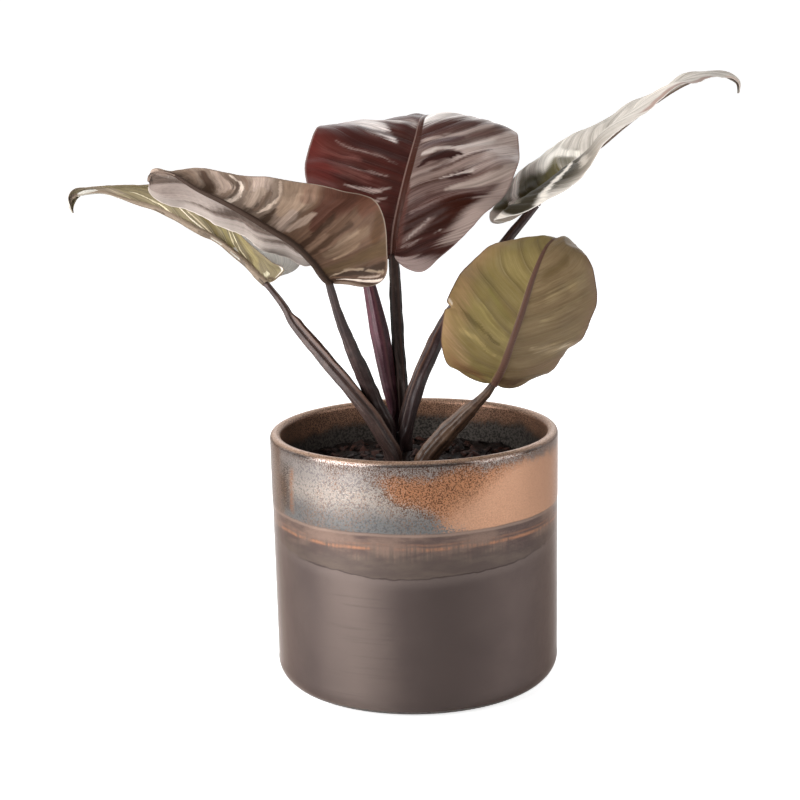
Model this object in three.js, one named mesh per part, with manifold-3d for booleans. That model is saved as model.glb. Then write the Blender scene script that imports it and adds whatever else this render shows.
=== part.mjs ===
// A bronze philodendron in a glazed pot, 343 mm wide and 289 mm tall.
// Five leaf blades on long stalks and one rolled new leaf in its sheath rise from a short
// stem. The stem and two of the stalks stand in the bark mix that fills the pot.
// The pot stands on the plane Z = 0 with its axis on the Z axis, and its front faces -Y.
import * as THREE from 'three';
import { mergeVertices } from 'three/addons/utils/BufferGeometryUtils.js';
import Module from 'manifold-3d';

const wasm = await Module();
wasm.setup();

// Sizes in millimetres
const POT_TOP_RADIUS = 70;
const POT_FOOT_RADIUS = 69.4;
const POT_HEIGHT = 123.5;
const POT_CORNER = 10;
const WALL = 5.2;
const FLOOR = 6;
const POT_SEGMENTS = 60;
const SOIL_HEIGHT = 102.5;
const SOIL_SEGMENTS = 44;
const FIT = 0.3;
const LEAF_THICKNESS = 0.8;
const LEAF_ROWS = 26;
const RIB_HEIGHT = 2.2;
const RIB_HALF_WIDTH = 2.3;
const VEIN_SWEEP = 3;
const HALF_SHIFT = 0.3;
const FIRST_ROW = 0.004;
const LAST_ROW = 0.986;
const STALK_SIDES = 10;
const STALK_DEPTH = 0.8;

// The stem: centre line and radii from below the soil to its tapered crown
const STEM = {
  path: [[-7, -1, 84], [-7.2, -1, 98], [-7, -1, 110], [-6.8, -1, 116], [-6.8, -1, 121.5]],
  radii: [4.6, 5.2, 5.3, 5, 2.6],
  rings: 10,
  depth: 1,
};

// Stalks: centre line from root to blade, and half the width along it
const STALKS = {
  left: {
    path: [[-9.5, -13, 92], [-10, -13, 104], [-11.5, -13, 114], [-15.6, -13, 122],
      [-22, -12.5, 133.5], [-30.5, -9.5, 144.5], [-40.7, -3, 156], [-56.2, 8, 173],
      [-61.7, 12, 182.4], [-69.4, 15.7, 191.9]],
    radii: [3.4, 3.5, 3.4, 3.3, 3.2, 3.1, 2.9, 2.5, 2, 1.7],
    rings: 20,
  },
  front_left: {
    path: [[-11, -3, 114], [-13, -3.4, 125], [-18.5, -5, 137], [-24.3, -9.5, 153.5],
      [-30.5, -15, 170.5], [-34.9, -19, 184.6], [-37.8, -21.7, 196.8]],
    radii: [3.6, 4.4, 4.3, 4, 3.2, 2.4, 2],
    rings: 18,
  },
  back: {
    path: [[-4.4, 4.6, 115.5], [-4.7, 4.8, 126], [-5.7, 7, 145.5], [-6.8, 12, 164.5],
      [-7.4, 17, 183.5], [-8.2, 20.9, 202.8]],
    radii: [2.8, 3.1, 3.1, 3.1, 3, 2.4],
    rings: 16,
  },
  right: {
    path: [[-4, -3.6, 113], [-3.5, -3, 124], [-1, -1, 135], [4.2, 2, 149], [10.1, 6, 160.5],
      [17, 11, 174], [33, 22, 193], [48.5, 31, 210.5], [59.1, 35.5, 222.2]],
    radii: [3.6, 4.2, 4.1, 4, 3.6, 3.3, 2.9, 2.7, 2.3],
    rings: 20,
  },
  front_right: {
    path: [[3.5, -14, 92], [4.4, -14, 104], [7, -14.2, 112.5], [16.1, -16, 123.8],
      [28.3, -19, 137.2], [33.8, -20.6, 143.4], [37.1, -21.4, 147.5]],
    radii: [4.4, 4.6, 4.9, 4.9, 4.1, 3, 2.1],
    rings: 16,
  },
};

// The rolled new leaf in its sheath, from the crown to its tip behind the front left leaf
const SHEATH = {
  path: [[-9.6, 3.6, 115], [-9, 4.6, 126], [-9.3, 5, 133], [-11.3, 6, 143.5], [-14.2, 8, 163],
    [-18.3, 11, 184.5], [-21.5, 13, 199], [-25, 15, 213.5], [-27.3, 17, 224]],
  radii: [2.2, 2.6, 3.5, 4.3, 4.5, 3.6, 2.6, 1.9, 0.6],
  rings: 18,
};

// Blades: the midrib and both margins, each from the stalk to the tip. The left margin is on
// the left when the upper face is seen with the tip pointing away. foot sets how far the side
// veins lean forward, cup how far each half arches, pleats and wave the count and depth of
// its folds.
const BLADES = {
  left: {
    rib: [[-70, 16, 193], [-82, 22, 203], [-94, 29, 212], [-106, 35, 218], [-118, 41, 224],
      [-128, 45, 228], [-142, 48, 232], [-152, 50, 235], [-159, 51, 235], [-165.5, 51, 234],
      [-169, 51, 232], [-169, 50, 228], [-167, 49, 224]],
    left: [[-69, 14.5, 193.5], [-65, 11, 196], [-61, 9, 201], [-67, 12, 204.5], [-76, 20, 210],
      [-84, 28, 217], [-94, 31, 227], [-109, 34, 235], [-122, 35, 239], [-131, 40, 240],
      [-144, 45, 240], [-159, 49, 238], [-166.5, 50, 238], [-170.5, 49, 234], [-170, 49, 229],
      [-167.6, 48.6, 224]],
    right: [[-69, 17.5, 193.5], [-64.5, 22, 195.5], [-57, 29, 197.5], [-55, 36, 200],
      [-59, 43, 205], [-71, 49, 210], [-84, 53, 215], [-99, 57, 222], [-116, 59, 228],
      [-130, 59, 233], [-143, 57, 235], [-152, 55, 236], [-160, 53.5, 236.5], [-164.5, 53, 233.5],
      [-166, 52, 229.5], [-166.6, 49.6, 224]],
    foot: 1.25,
    cup: [3, 3],
    pleats: 5,
    wave: [1, 1],
  },
  front_left: {
    rib: [[-38, -22, 198], [-51, -27, 215], [-68, -29, 227], [-83, -27, 236], [-98, -21, 243],
      [-109, -13, 249], [-117, -4, 250], [-123, 5, 248], [-125, 11, 243]],
    left: [[-36.5, -23, 198], [-27, -30, 198], [-14, -37, 200.5], [-11, -40, 210], [-11, -40, 226],
      [-17, -38, 238], [-32, -34, 243], [-50, -29, 246], [-71, -24, 249], [-88, -19, 251],
      [-102, -12, 252], [-113, -4, 251], [-121, 5, 250], [-125, 10.4, 243]],
    right: [[-37, -20.5, 198.5], [-33, -8, 200], [-30, 4, 204], [-35, 14, 204], [-44, 21, 201.5],
      [-54, 23, 201], [-66, 22, 207], [-78, 21, 213], [-93, 20, 222], [-110, 19, 230],
      [-121, 15, 235], [-125, 13, 239], [-125, 11.8, 243]],
    foot: 1.35,
    cup: [5, 4],
    pleats: 6,
    wave: [1.8, 1],
  },
  back: {
    rib: [[-8, 21, 204], [-6.5, 25, 217], [-3, 31, 232], [1, 41, 246], [5, 56, 258], [8.5, 74, 268],
      [14, 97, 265.5], [17, 115, 247.5], [18, 128, 223]],
    left: [[-9.5, 20.5, 204.5], [-20, 19, 200], [-32, 21, 203], [-43, 30, 219], [-51, 42, 243],
      [-48, 60, 259.5], [-38, 84, 266.5], [-20, 103, 259], [-5, 117, 244], [9, 125, 231],
      [17.2, 128, 223]],
    right: [[-6.5, 20.5, 204.5], [-2, 12, 199.5], [8.5, 7, 199.5], [23.5, 7, 214],
      [42.5, 18, 229.5], [54, 40, 244], [56, 65, 256.5], [50, 93, 256.5], [36, 114, 243],
      [25, 123, 231], [18.8, 128, 223]],
    foot: 1.25,
    cup: [1.5, 3],
    pleats: 6,
    wave: [1.6, 2],
  },
  right: {
    rib: [[63, 37, 227], [71, 40, 235], [82, 44, 245], [96, 50, 254], [110, 57, 264],
      [129, 66, 276], [144, 73, 283], [159, 78, 286.5], [169, 81, 282], [170, 82, 274]],
    left: [[61, 38.5, 226.5], [52, 43, 219], [42, 53, 216], [43, 68, 221], [52, 80, 232],
      [71, 88, 248.5], [92, 95, 257], [110, 98, 267], [128, 99, 274], [141, 97, 284.5],
      [152, 93, 285], [168, 84, 283], [169.4, 82.6, 274]],
    right: [[61.6, 35.5, 226], [50, 29, 220], [41, 16, 221], [47, 3, 225], [65, -6, 232],
      [79.5, -7, 243.5], [95.5, -4, 261], [113, 5, 273.5], [132, 19, 284], [145, 39, 285],
      [160, 60, 285.5], [171, 78, 282], [170.6, 81.4, 274]],
    foot: 1.25,
    cup: [2.5, 4],
    pleats: 6,
    wave: [1.1, 0.9],
  },
  front_right: {
    rib: [[38, -21.5, 149], [42, -29, 159], [46, -34, 172], [51, -31, 185], [56, -25, 198],
      [61, -18, 208], [65, -10, 212.5], [70, -1, 214], [72, 6, 208]],
    left: [[39.5, -22, 149.5], [45, -18, 146], [55, -17, 148.5], [64, -15, 152.5], [73, -13, 160.5],
      [81, -15, 170], [86, -20, 184], [85.5, -21, 200], [80, -13, 210], [76, 0, 213],
      [72.6, 6.2, 208]],
    right: [[36.5, -22, 149.5], [31, -19, 150], [23, -22, 154], [16, -28, 160.5], [13, -38, 174],
      [16, -36, 191], [26, -18, 204.5], [42, -8, 214], [57, -1, 215], [66, 3, 212],
      [71.4, 5.8, 208]],
    foot: 1.25,
    cup: [-3, -2],
    pleats: 6,
    wave: [1, 1],
  },
};

function curve(points) {
  const vectors = points.map((p) => new THREE.Vector3(...p));
  return new THREE.CatmullRomCurve3(vectors, false, 'catmullrom', 0.5);
}

function mix(values, u) {
  const at = Math.min(u * (values.length - 1), values.length - 1.000001);
  const low = Math.floor(at);
  return values[low] + (values[low + 1] - values[low]) * (at - low);
}

function closedGeometry(points, faces) {
  const geometry = new THREE.BufferGeometry();
  const flat = points.flatMap((p) => [p.x, p.y, p.z]);
  geometry.setAttribute('position', new THREE.Float32BufferAttribute(flat, 3));
  geometry.setIndex(faces);
  return geometry;
}

// A rod through rings of points, with a fan over each end
function rodGeometry(rings) {
  const sides = rings[0].length;
  const points = rings.flat();
  const faces = [];
  for (let i = 0; i + 1 < rings.length; i++) {
    for (let j = 0; j < sides; j++) {
      const a = i * sides + j;
      const b = i * sides + (j + 1) % sides;
      faces.push(a, b, b + sides, a, b + sides, a + sides);
    }
  }
  const last = (rings.length - 1) * sides;
  for (const [start, turn] of [[0, -1], [last, 1]]) {
    const ring = points.slice(start, start + sides);
    const centre = ring.reduce((sum, p) => sum.add(p), new THREE.Vector3()).divideScalar(sides);
    points.push(centre);
    for (let j = 0; j < sides; j++) {
      const a = start + j;
      const b = start + (j + 1) % sides;
      if (turn > 0) faces.push(a, b, points.length - 1);
      else faces.push(b, a, points.length - 1);
    }
  }
  return closedGeometry(points, faces);
}

// A tapered stalk whose section is an oval, wider across the view than along it
function stalkGeometry({ path, radii, rings, depth = STALK_DEPTH }, extra = 0) {
  const line = curve(path);
  const sections = [];
  for (let i = 0; i <= rings; i++) {
    const u = i / rings;
    const along = line.getTangentAt(u);
    const across = new THREE.Vector3().crossVectors(new THREE.Vector3(0, 1, 0), along).normalize();
    const back = new THREE.Vector3().crossVectors(along, across);
    const centre = line.getPointAt(u);
    if (i === 0) centre.addScaledVector(along, -extra);
    if (i === rings) centre.addScaledVector(along, extra);
    const radius = mix(radii, u);
    const section = [];
    for (let j = 0; j < STALK_SIDES; j++) {
      const angle = (2 * Math.PI * j) / STALK_SIDES;
      section.push(centre.clone()
        .addScaledVector(across, (radius + extra) * Math.cos(angle))
        .addScaledVector(back, (radius * depth + extra) * Math.sin(angle)));
    }
    sections.push(section);
  }
  return rodGeometry(sections);
}

// Distances from the midrib to a row's points: two flank the raised rib, the rest share
// what is left of the half width
function columnShares(halfWidth) {
  const first = Math.min(RIB_HALF_WIDTH / halfWidth, 0.16);
  const second = Math.min((2 * RIB_HALF_WIDTH) / halfWidth, 0.3);
  const rest = [0.34, 0.68, 1].map((share) => second + (1 - second) * share);
  return [0, first, second, ...rest];
}

// One row of the blade's middle surface from the left margin to the right one
function bladeRow(spec, lines, t) {
  const foot = t ** spec.foot;
  const rib = lines.rib.getPointAt(foot);
  const along = lines.rib.getTangentAt(foot);
  const swell = Math.sin(Math.PI * t) ** 0.5;
  const halves = ['left', 'right'].map((name, index) => {
    const side = index === 0 ? -1 : 1;
    const margin = lines[name].getPointAt(t);
    const reach = margin.clone().sub(rib);
    const halfWidth = reach.length();
    const up = new THREE.Vector3().crossVectors(reach, along).multiplyScalar(side).normalize();
    const middle = rib.clone().addScaledVector(reach, 0.5)
      .addScaledVector(along, -VEIN_SWEEP * swell)
      .addScaledVector(up, 2 * spec.cup[index] * swell);
    return columnShares(halfWidth).map((share) => {
      const point = rib.clone().multiplyScalar((1 - share) ** 2)
        .addScaledVector(middle, 2 * share * (1 - share))
        .addScaledVector(margin, share ** 2);
      const turn = 2 * Math.PI * (spec.pleats * t ** 0.9 + HALF_SHIFT * index);
      const depth = spec.wave[index] * Math.sin(turn) * share ** 0.8 * swell;
      const ridge = Math.exp(-(((share * halfWidth) / RIB_HALF_WIDTH) ** 2));
      return { point: point.addScaledVector(up, depth), ridge };
    });
  });
  return [...halves[0].slice(1).reverse(), ...halves[1]];
}

// The blade: both faces of the waved surface and the rim between them, with the midrib
// raised on the lower face and fading out towards the tip
function bladeGeometry(spec) {
  const lines = { rib: curve(spec.rib), left: curve(spec.left), right: curve(spec.right) };
  const rows = [];
  for (let i = 0; i <= LEAF_ROWS; i++) {
    rows.push(bladeRow(spec, lines, FIRST_ROW + ((LAST_ROW - FIRST_ROW) * i) / LEAF_ROWS));
  }
  const columns = rows[0].length;
  const pick = (i, j) => {
    const row = rows[Math.min(Math.max(i, 0), LEAF_ROWS)];
    return row[Math.min(Math.max(j, 0), columns - 1)].point;
  };
  const upper = [];
  const lower = [];
  for (let i = 0; i <= LEAF_ROWS; i++) {
    const fade = (1 - i / LEAF_ROWS) ** 0.8;
    for (let j = 0; j < columns; j++) {
      const along = pick(i + 1, j).clone().sub(pick(i - 1, j));
      const across = pick(i, j + 1).clone().sub(pick(i, j - 1));
      const up = new THREE.Vector3().crossVectors(across, along).normalize();
      const ridge = RIB_HEIGHT * fade * rows[i][j].ridge;
      upper.push(pick(i, j).clone().addScaledVector(up, LEAF_THICKNESS / 2));
      lower.push(pick(i, j).clone().addScaledVector(up, -LEAF_THICKNESS / 2 - ridge));
    }
  }
  const faces = [];
  const count = upper.length;
  const quad = (a, b, c, d) => faces.push(a, b, c, a, c, d);
  for (let i = 0; i < LEAF_ROWS; i++) {
    for (let j = 0; j + 1 < columns; j++) {
      const a = i * columns + j;
      quad(a, a + 1, a + 1 + columns, a + columns);
      faces.push(count + a + 1, count + a, count + a + 1 + columns);
      faces.push(count + a + 1 + columns, count + a, count + a + columns);
    }
    const left = i * columns;
    const right = left + columns - 1;
    quad(left, left + columns, count + left + columns, count + left);
    quad(right + columns, right, count + right, count + right + columns);
  }
  for (let j = 0; j + 1 < columns; j++) {
    const end = LEAF_ROWS * columns + j;
    quad(j + 1, j, count + j, count + j + 1);
    quad(end, end + 1, count + end + 1, count + end);
  }
  return closedGeometry([...upper, ...lower], faces);
}

// The pot: a straight glazed cylinder with a rounded foot and a rounded lip
function potGeometry() {
  const profile = [new THREE.Vector2(0, 0)];
  const arc = (x, y, radius, from, to, steps) => {
    for (let i = 0; i <= steps; i++) {
      const angle = from + ((to - from) * i) / steps;
      profile.push(new THREE.Vector2(x + radius * Math.cos(angle), y + radius * Math.sin(angle)));
    }
  };
  const lip = WALL / 2;
  arc(POT_FOOT_RADIUS - POT_CORNER, POT_CORNER, POT_CORNER, -Math.PI / 2, 0, 5);
  arc(POT_TOP_RADIUS - lip, POT_HEIGHT - lip, lip, 0, Math.PI, 6);
  const inner = POT_CORNER - WALL;
  arc(POT_FOOT_RADIUS - POT_CORNER, FLOOR + inner, inner, 0, -Math.PI / 2, 3);
  profile.push(new THREE.Vector2(0, FLOOR));
  const geometry = new THREE.LatheGeometry(profile, POT_SEGMENTS);
  return geometry.rotateX(Math.PI / 2);
}

// The bark mix: a plug that fills the pot, lumpy on top
function soilGeometry() {
  const rim = POT_TOP_RADIUS - WALL - FIT - 0.1;
  const foot = POT_FOOT_RADIUS - WALL - FIT;
  const inner = POT_CORNER - WALL;
  const outline = [[0.05, 0], [9, 0], [18, 0], [27, 0], [36, 0], [45, 0], [54, 0], [rim, 0],
    [foot, 1], [foot - inner, 2]];
  const bottom = FLOOR + FIT;
  const sections = outline.map(([radius, level]) => {
    const section = [];
    for (let j = 0; j < SOIL_SEGMENTS; j++) {
      const angle = (2 * Math.PI * j) / SOIL_SEGMENTS;
      const x = radius * Math.cos(angle);
      const y = radius * Math.sin(angle);
      const lumps = 1.1 * Math.sin(x / 4.1 + 1.3 * Math.sin(y / 6)) * Math.cos(y / 4.7 - x / 11);
      const top = SOIL_HEIGHT + (radius < 0.1 ? 0 : lumps);
      section.push(new THREE.Vector3(x, y, [top, bottom + inner, bottom][level]));
    }
    return section;
  });
  return rodGeometry(sections.reverse());
}

function solid(geometry) {
  const plain = geometry.clone();
  plain.deleteAttribute('normal');
  plain.deleteAttribute('uv');
  const merged = mergeVertices(plain, 1e-4);
  return new wasm.Manifold(new wasm.Mesh({
    numProp: 3,
    vertProperties: new Float32Array(merged.attributes.position.array),
    triVerts: new Uint32Array(merged.index.array),
  }));
}

// The largest body that is left of one shape once the others are cut away
function cut(shape, tools) {
  const left = tools.reduce((body, tool) => body.subtract(tool), shape);
  const bodies = left.decompose();
  return bodies.reduce((best, body) => (body.volume() > best.volume() ? body : best));
}

function geometryOf(body) {
  const { vertProperties, triVerts } = body.getMesh();
  const geometry = new THREE.BufferGeometry();
  geometry.setAttribute('position', new THREE.BufferAttribute(vertProperties, 3));
  geometry.setIndex(new THREE.BufferAttribute(triVerts, 1));
  return geometry;
}

const plant = new THREE.Group();

function add(name, geometry, color, roughness, metalness = 0) {
  const material = new THREE.MeshStandardMaterial({ color, roughness, metalness });
  geometry.computeVertexNormals();
  const mesh = new THREE.Mesh(geometry, material);
  mesh.name = name;
  plant.add(mesh);
}

const grown = {};
const room = {};
for (const [name, spec] of Object.entries({ ...STALKS, stem: STEM, sheath: SHEATH })) {
  grown[name] = solid(stalkGeometry(spec));
  room[name] = solid(stalkGeometry(spec, FIT));
}

function addLeaf(name, color, roughness) {
  add(`leaf_${name}`, bladeGeometry(BLADES[name]), color, roughness);
}

function addStalk(name, neighbours, color) {
  const body = cut(grown[name], neighbours.map((other) => room[other]));
  add(`stalk_${name}`, geometryOf(body), color, 0.45);
}

add('pot', potGeometry(), 0x6f6259, 0.35, 0.3);
const plug = cut(solid(soilGeometry()), [room.stem, room.left, room.front_right]);
add('soil', geometryOf(plug), 0x241b15, 0.95);
add('stem', geometryOf(grown.stem), 0x2a201d, 0.7);
addStalk('left', [], 0x4a3a36);
addStalk('front_left', ['stem'], 0x46342f);
addStalk('right', ['stem', 'front_left'], 0x4b3833);
addStalk('back', ['stem', 'front_left', 'right'], 0x4a3230);
addStalk('front_right', [], 0x5a4136);
const sheath = cut(grown.sheath, [room.stem, room.front_left, room.right, room.back]);
add('new_leaf_sheath', geometryOf(sheath), 0x4d2527, 0.4);
addLeaf('left', 0x857e58, 0.4);
addLeaf('front_left', 0x6f5f54, 0.35);
addLeaf('back', 0x4a2a2b, 0.3);
addLeaf('right', 0x8d8a80, 0.35);
addLeaf('front_right', 0x6b6044, 0.4);

export default plant;
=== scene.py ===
"""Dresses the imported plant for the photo: waxy pleated leaves, sheathed stalks, bark mix and a dipped glaze."""

import math

import bpy
import numpy as np
from mathutils import Matrix, Vector


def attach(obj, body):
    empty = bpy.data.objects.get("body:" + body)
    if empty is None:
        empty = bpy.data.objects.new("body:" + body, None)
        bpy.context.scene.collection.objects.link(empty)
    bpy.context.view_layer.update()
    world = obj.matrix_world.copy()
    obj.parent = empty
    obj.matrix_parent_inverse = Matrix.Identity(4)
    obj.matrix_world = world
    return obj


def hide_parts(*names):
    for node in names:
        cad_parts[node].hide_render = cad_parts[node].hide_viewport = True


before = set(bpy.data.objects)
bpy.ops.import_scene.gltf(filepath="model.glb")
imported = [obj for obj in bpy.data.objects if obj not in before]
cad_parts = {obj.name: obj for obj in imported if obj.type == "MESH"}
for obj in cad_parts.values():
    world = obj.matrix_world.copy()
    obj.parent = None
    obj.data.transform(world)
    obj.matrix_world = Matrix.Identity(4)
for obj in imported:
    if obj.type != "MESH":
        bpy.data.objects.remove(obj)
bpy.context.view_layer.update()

MM = 0.001

# The pot, in millimetres
POT_HEIGHT = 123.5
POT_TOP_RADIUS = 70
POT_FOOT_RADIUS = 69.4
POT_CORNER = 10
WALL = 5.2
FLOOR = 6
SOIL_HEIGHT = 102.5
DIP_LINE = 90
ORANGE_LINE = 82.6


def numbers(text):
    """Rows of numbers from text, where a comma ends a row."""
    return [[float(number) for number in row.split()] for row in text.split(",")]


# Blades: midrib and both margins from the stalk to the tip, as the CAD solids have them
BLADES = {
    "leaf_left": dict(
        rib=numbers("""-70 16 193, -82 22 203, -94 29 212, -106 35 218, -118 41 224, -128 45 228, -142 48 232,
            -152 50 235, -159 51 235, -165.5 51 234, -169 51 232, -169 50 228, -167 49 224"""),
        left=numbers("""-69 14.5 193.5, -65 11 196, -61 9 201, -67 12 204.5, -76 20 210, -84 28 217, -94 31 227,
            -109 34 235, -122 35 239, -131 40 240, -144 45 240, -159 49 238, -166.5 50 238, -170.5 49 234,
            -170 49 229, -167.6 48.6 224"""),
        right=numbers("""-69 17.5 193.5, -64.5 22 195.5, -57 29 197.5, -55 36 200, -59 43 205, -71 49 210,
            -84 53 215, -99 57 222, -116 59 228, -130 59 233, -143 57 235, -152 55 236, -160 53.5 236.5,
            -164.5 53 233.5, -166 52 229.5, -166.6 49.6 224"""),
        foot=1.25, cup=(3, 3), pleats=5, wave=(1, 1), quilt=(0.35, 0.3), lean=(0.26, 0.6), tip=(0.91, 1, 0.85),
        creases=((0, 0.04, 0.08, 0.12, 0.2, 0.27, 0.35, 0.43, 0.52, 0.6, 0.68, 0.76, 0.84, 0.92, 1),
                 (0, 0.05, 0.11, 0.17, 0.24, 0.31, 0.38, 0.46, 0.54, 0.62, 0.7, 0.79, 0.88, 1))),
    "leaf_front_left": dict(
        rib=numbers("""-38 -22 198, -51 -27 215, -68 -29 227, -83 -27 236, -98 -21 243, -109 -13 249, -117 -4 250,
            -123 5 248, -125 11 243"""),
        left=numbers("""-36.5 -23 198, -27 -30 198, -14 -37 200.5, -11 -40 210, -11 -40 226, -17 -38 238,
            -32 -34 243, -50 -29 246, -71 -24 249, -88 -19 251, -102 -12 252, -113 -4 251, -121 5 250,
            -125 10.4 243"""),
        right=numbers("""-37 -20.5 198.5, -33 -8 200, -30 4 204, -35 14 204, -44 21 201.5, -54 23 201, -66 22 207,
            -78 21 213, -93 20 222, -110 19 230, -121 15 235, -125 13 239, -125 11.8 243"""),
        foot=1.35, cup=(5, 4), pleats=6, wave=(1.8, 1), quilt=(0.8, 0.5), lean=(0.1, 1.05), rib_width=1.5,
        creases=((0, 0.06, 0.11, 0.165, 0.22, 0.27, 0.315, 0.4, 0.53, 0.61, 0.7, 0.76, 0.84, 0.92, 1),
                 (0, 0.06, 0.13, 0.19, 0.27, 0.33, 0.42, 0.5, 0.57, 0.66, 0.73, 0.82, 0.9, 1))),
    "leaf_back": dict(
        rib=numbers("""-8 21 204, -6.5 25 217, -3 31 232, 1 41 246, 5 56 258, 8.5 74 268, 14 97 265.5, 17 115 247.5,
            18 128 223"""),
        left=numbers("""-9.5 20.5 204.5, -20 19 200, -32 21 203, -43 30 219, -51 42 243, -48 60 259.5, -38 84 266.5,
            -20 103 259, -5 117 244, 9 125 231, 17.2 128 223"""),
        right=numbers("""-6.5 20.5 204.5, -2 12 199.5, 8.5 7 199.5, 23.5 7 214, 42.5 18 229.5, 54 40 244,
            56 65 256.5, 50 93 256.5, 36 114 243, 25 123 231, 18.8 128 223"""),
        foot=1.25, cup=(1.5, 3), pleats=6, wave=(1.6, 2), quilt=(0.9, 1.15), lean=(0.13, 0.25), comb=0.18,
        creases=((0, 0.06, 0.12, 0.18, 0.25, 0.3, 0.335, 0.4, 0.47, 0.56, 0.62, 0.7, 0.78, 0.86, 0.93, 1),
                 (0, 0.05, 0.1, 0.14, 0.2, 0.27, 0.33, 0.385, 0.45, 0.5, 0.55, 0.61, 0.68, 0.76, 0.84, 0.92, 1)),
        swells=(((0.6, 0.6, 0.13, 0.35, -2.8),), ())),
    "leaf_right": dict(
        rib=numbers("""63 37 227, 71 40 235, 82 44 245, 96 50 254, 110 57 264, 129 66 276, 144 73 283, 159 78 286.5,
            169 81 282, 170 82 274"""),
        left=numbers("""61 38.5 226.5, 52 43 219, 42 53 216, 43 68 221, 52 80 232, 71 88 248.5, 92 95 257,
            110 98 267, 128 99 274, 141 97 284.5, 152 93 285, 168 84 283, 169.4 82.6 274"""),
        right=numbers("""61.6 35.5 226, 50 29 220, 41 16 221, 47 3 225, 65 -6 232, 79.5 -7 243.5, 95.5 -4 261,
            113 5 273.5, 132 19 284, 145 39 285, 160 60 285.5, 171 78 282, 170.6 81.4 274"""),
        foot=1.25, cup=(2.5, 4), pleats=6, wave=(1.1, 0.9), quilt=(0.55, 0.5), lean=(0.35, 0.35),
        tip=(0.84, 0.98, 0.75),
        creases=((0, 0.045, 0.1, 0.15, 0.19, 0.25, 0.3, 0.36, 0.44, 0.5, 0.58, 0.65, 0.74, 0.82, 0.91, 1),
                 (0, 0.05, 0.11, 0.16, 0.22, 0.28, 0.35, 0.41, 0.47, 0.55, 0.63, 0.7, 0.79, 0.88, 1))),
    "leaf_front_right": dict(
        rib=numbers("""38 -21.5 149, 42 -29 159, 46 -34 172, 51 -31 185, 56 -25 198, 61 -18 208, 65 -10 212.5,
            70 -1 214, 72 6 208"""),
        left=numbers("""39.5 -22 149.5, 45 -18 146, 55 -17 148.5, 64 -15 152.5, 73 -13 160.5, 81 -15 170, 86 -20 184,
            85.5 -21 200, 80 -13 210, 76 0 213, 72.6 6.2 208"""),
        right=numbers("""36.5 -22 149.5, 31 -19 150, 23 -22 154, 16 -28 160.5, 13 -38 174, 16 -36 191, 26 -18 204.5,
            42 -8 214, 57 -1 215, 66 3 212, 71.4 5.8 208"""),
        foot=1.25, cup=(-3, -2), pleats=6, wave=(1, 1), quilt=(0.15, 0.2), lean=(0.2, 0.2), comb=0.06,
        creases=((0, 0.08, 0.16, 0.26, 0.35, 0.45, 0.54, 0.65, 0.75, 0.86, 1),
                 (0, 0.07, 0.16, 0.27, 0.37, 0.46, 0.56, 0.66, 0.76, 0.87, 1)),
        notches=(((0.36, 1.4, 0.03),), ((0.422, 2.6, 0.009),))),
}

# Stalks: centre line, half widths, the share of the length that the sheath reaches
STALKS = {
    "stalk_left": dict(
        path=numbers("""-9.5 -13 92, -10 -13 104, -11.5 -13 114, -15.6 -13 122, -22 -12.5 133.5, -30.5 -9.5 144.5,
            -40.7 -3 156, -56.2 8 173, -61.7 12 182.4, -70.6 16.4 193.4"""),
        radii=(3.4, 3.5, 3.4, 3.3, 3.2, 3.1, 2.9, 2.5, 2, 1.7), sheath=0.86, wing=2.2),
    "stalk_front_left": dict(
        path=numbers("""-11 -3 114, -13 -3.4 125, -18.5 -5 137, -24.3 -9.5 153.5, -30.5 -15 170.5, -34.9 -19 184.6,
            -38.4 -22.2 198.6"""),
        radii=(3.6, 4.4, 4.3, 4, 3.2, 2.4, 2), sheath=0.4, wing=0.7),
    "stalk_back": dict(
        path=numbers("-4.4 4.6 115.5, -4.7 4.8 126, -5.7 7 145.5, -6.8 12 164.5, -7.4 17 183.5, -8.1 21.2 205"),
        radii=(2.8, 3.1, 3.1, 3.1, 3, 2.4), sheath=0.35, wing=0.5),
    "stalk_right": dict(
        path=numbers("""-4 -3.6 113, -3.5 -3 124, -1 -1 135, 4.2 2 149, 10.1 6 160.5, 17 11 174, 33 22 193,
            48.5 31 210.5, 62.4 36.8 226.4"""),
        radii=(3.6, 4.2, 4.1, 4, 3.6, 3.3, 2.9, 2.7, 2.3), sheath=0.45, wing=0.8),
    "stalk_front_right": dict(
        path=numbers("""3.5 -14 92, 4.4 -14 104, 7 -14.2 112.5, 16.1 -16 123.8, 28.3 -19 137.2, 33.8 -20.6 143.4,
            37.6 -21.5 148.4"""),
        radii=(4.4, 4.6, 4.9, 4.9, 4.1, 3, 2.1), sheath=0.84, wing=1.6),
}

SHEATH = dict(
    path=numbers("""-9.6 3.6 115, -9 4.6 126, -9.3 5 133, -11.3 6 143.5, -14.2 8 163, -18.3 11 184.5, -21.5 13 199,
        -25 15 213.5, -27.3 17 224"""),
    radii=(2.2, 2.6, 3.5, 4.3, 4.5, 3.6, 2.6, 1.9, 0.6))

STEM = dict(
    path=numbers("-7 -1 84, -7.2 -1 98, -7 -1 110, -6.8 -1 116, -6.8 -1 121.5"),
    radii=(4.6, 5.2, 5.3, 5, 2.6))


# Curves and meshes

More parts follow.
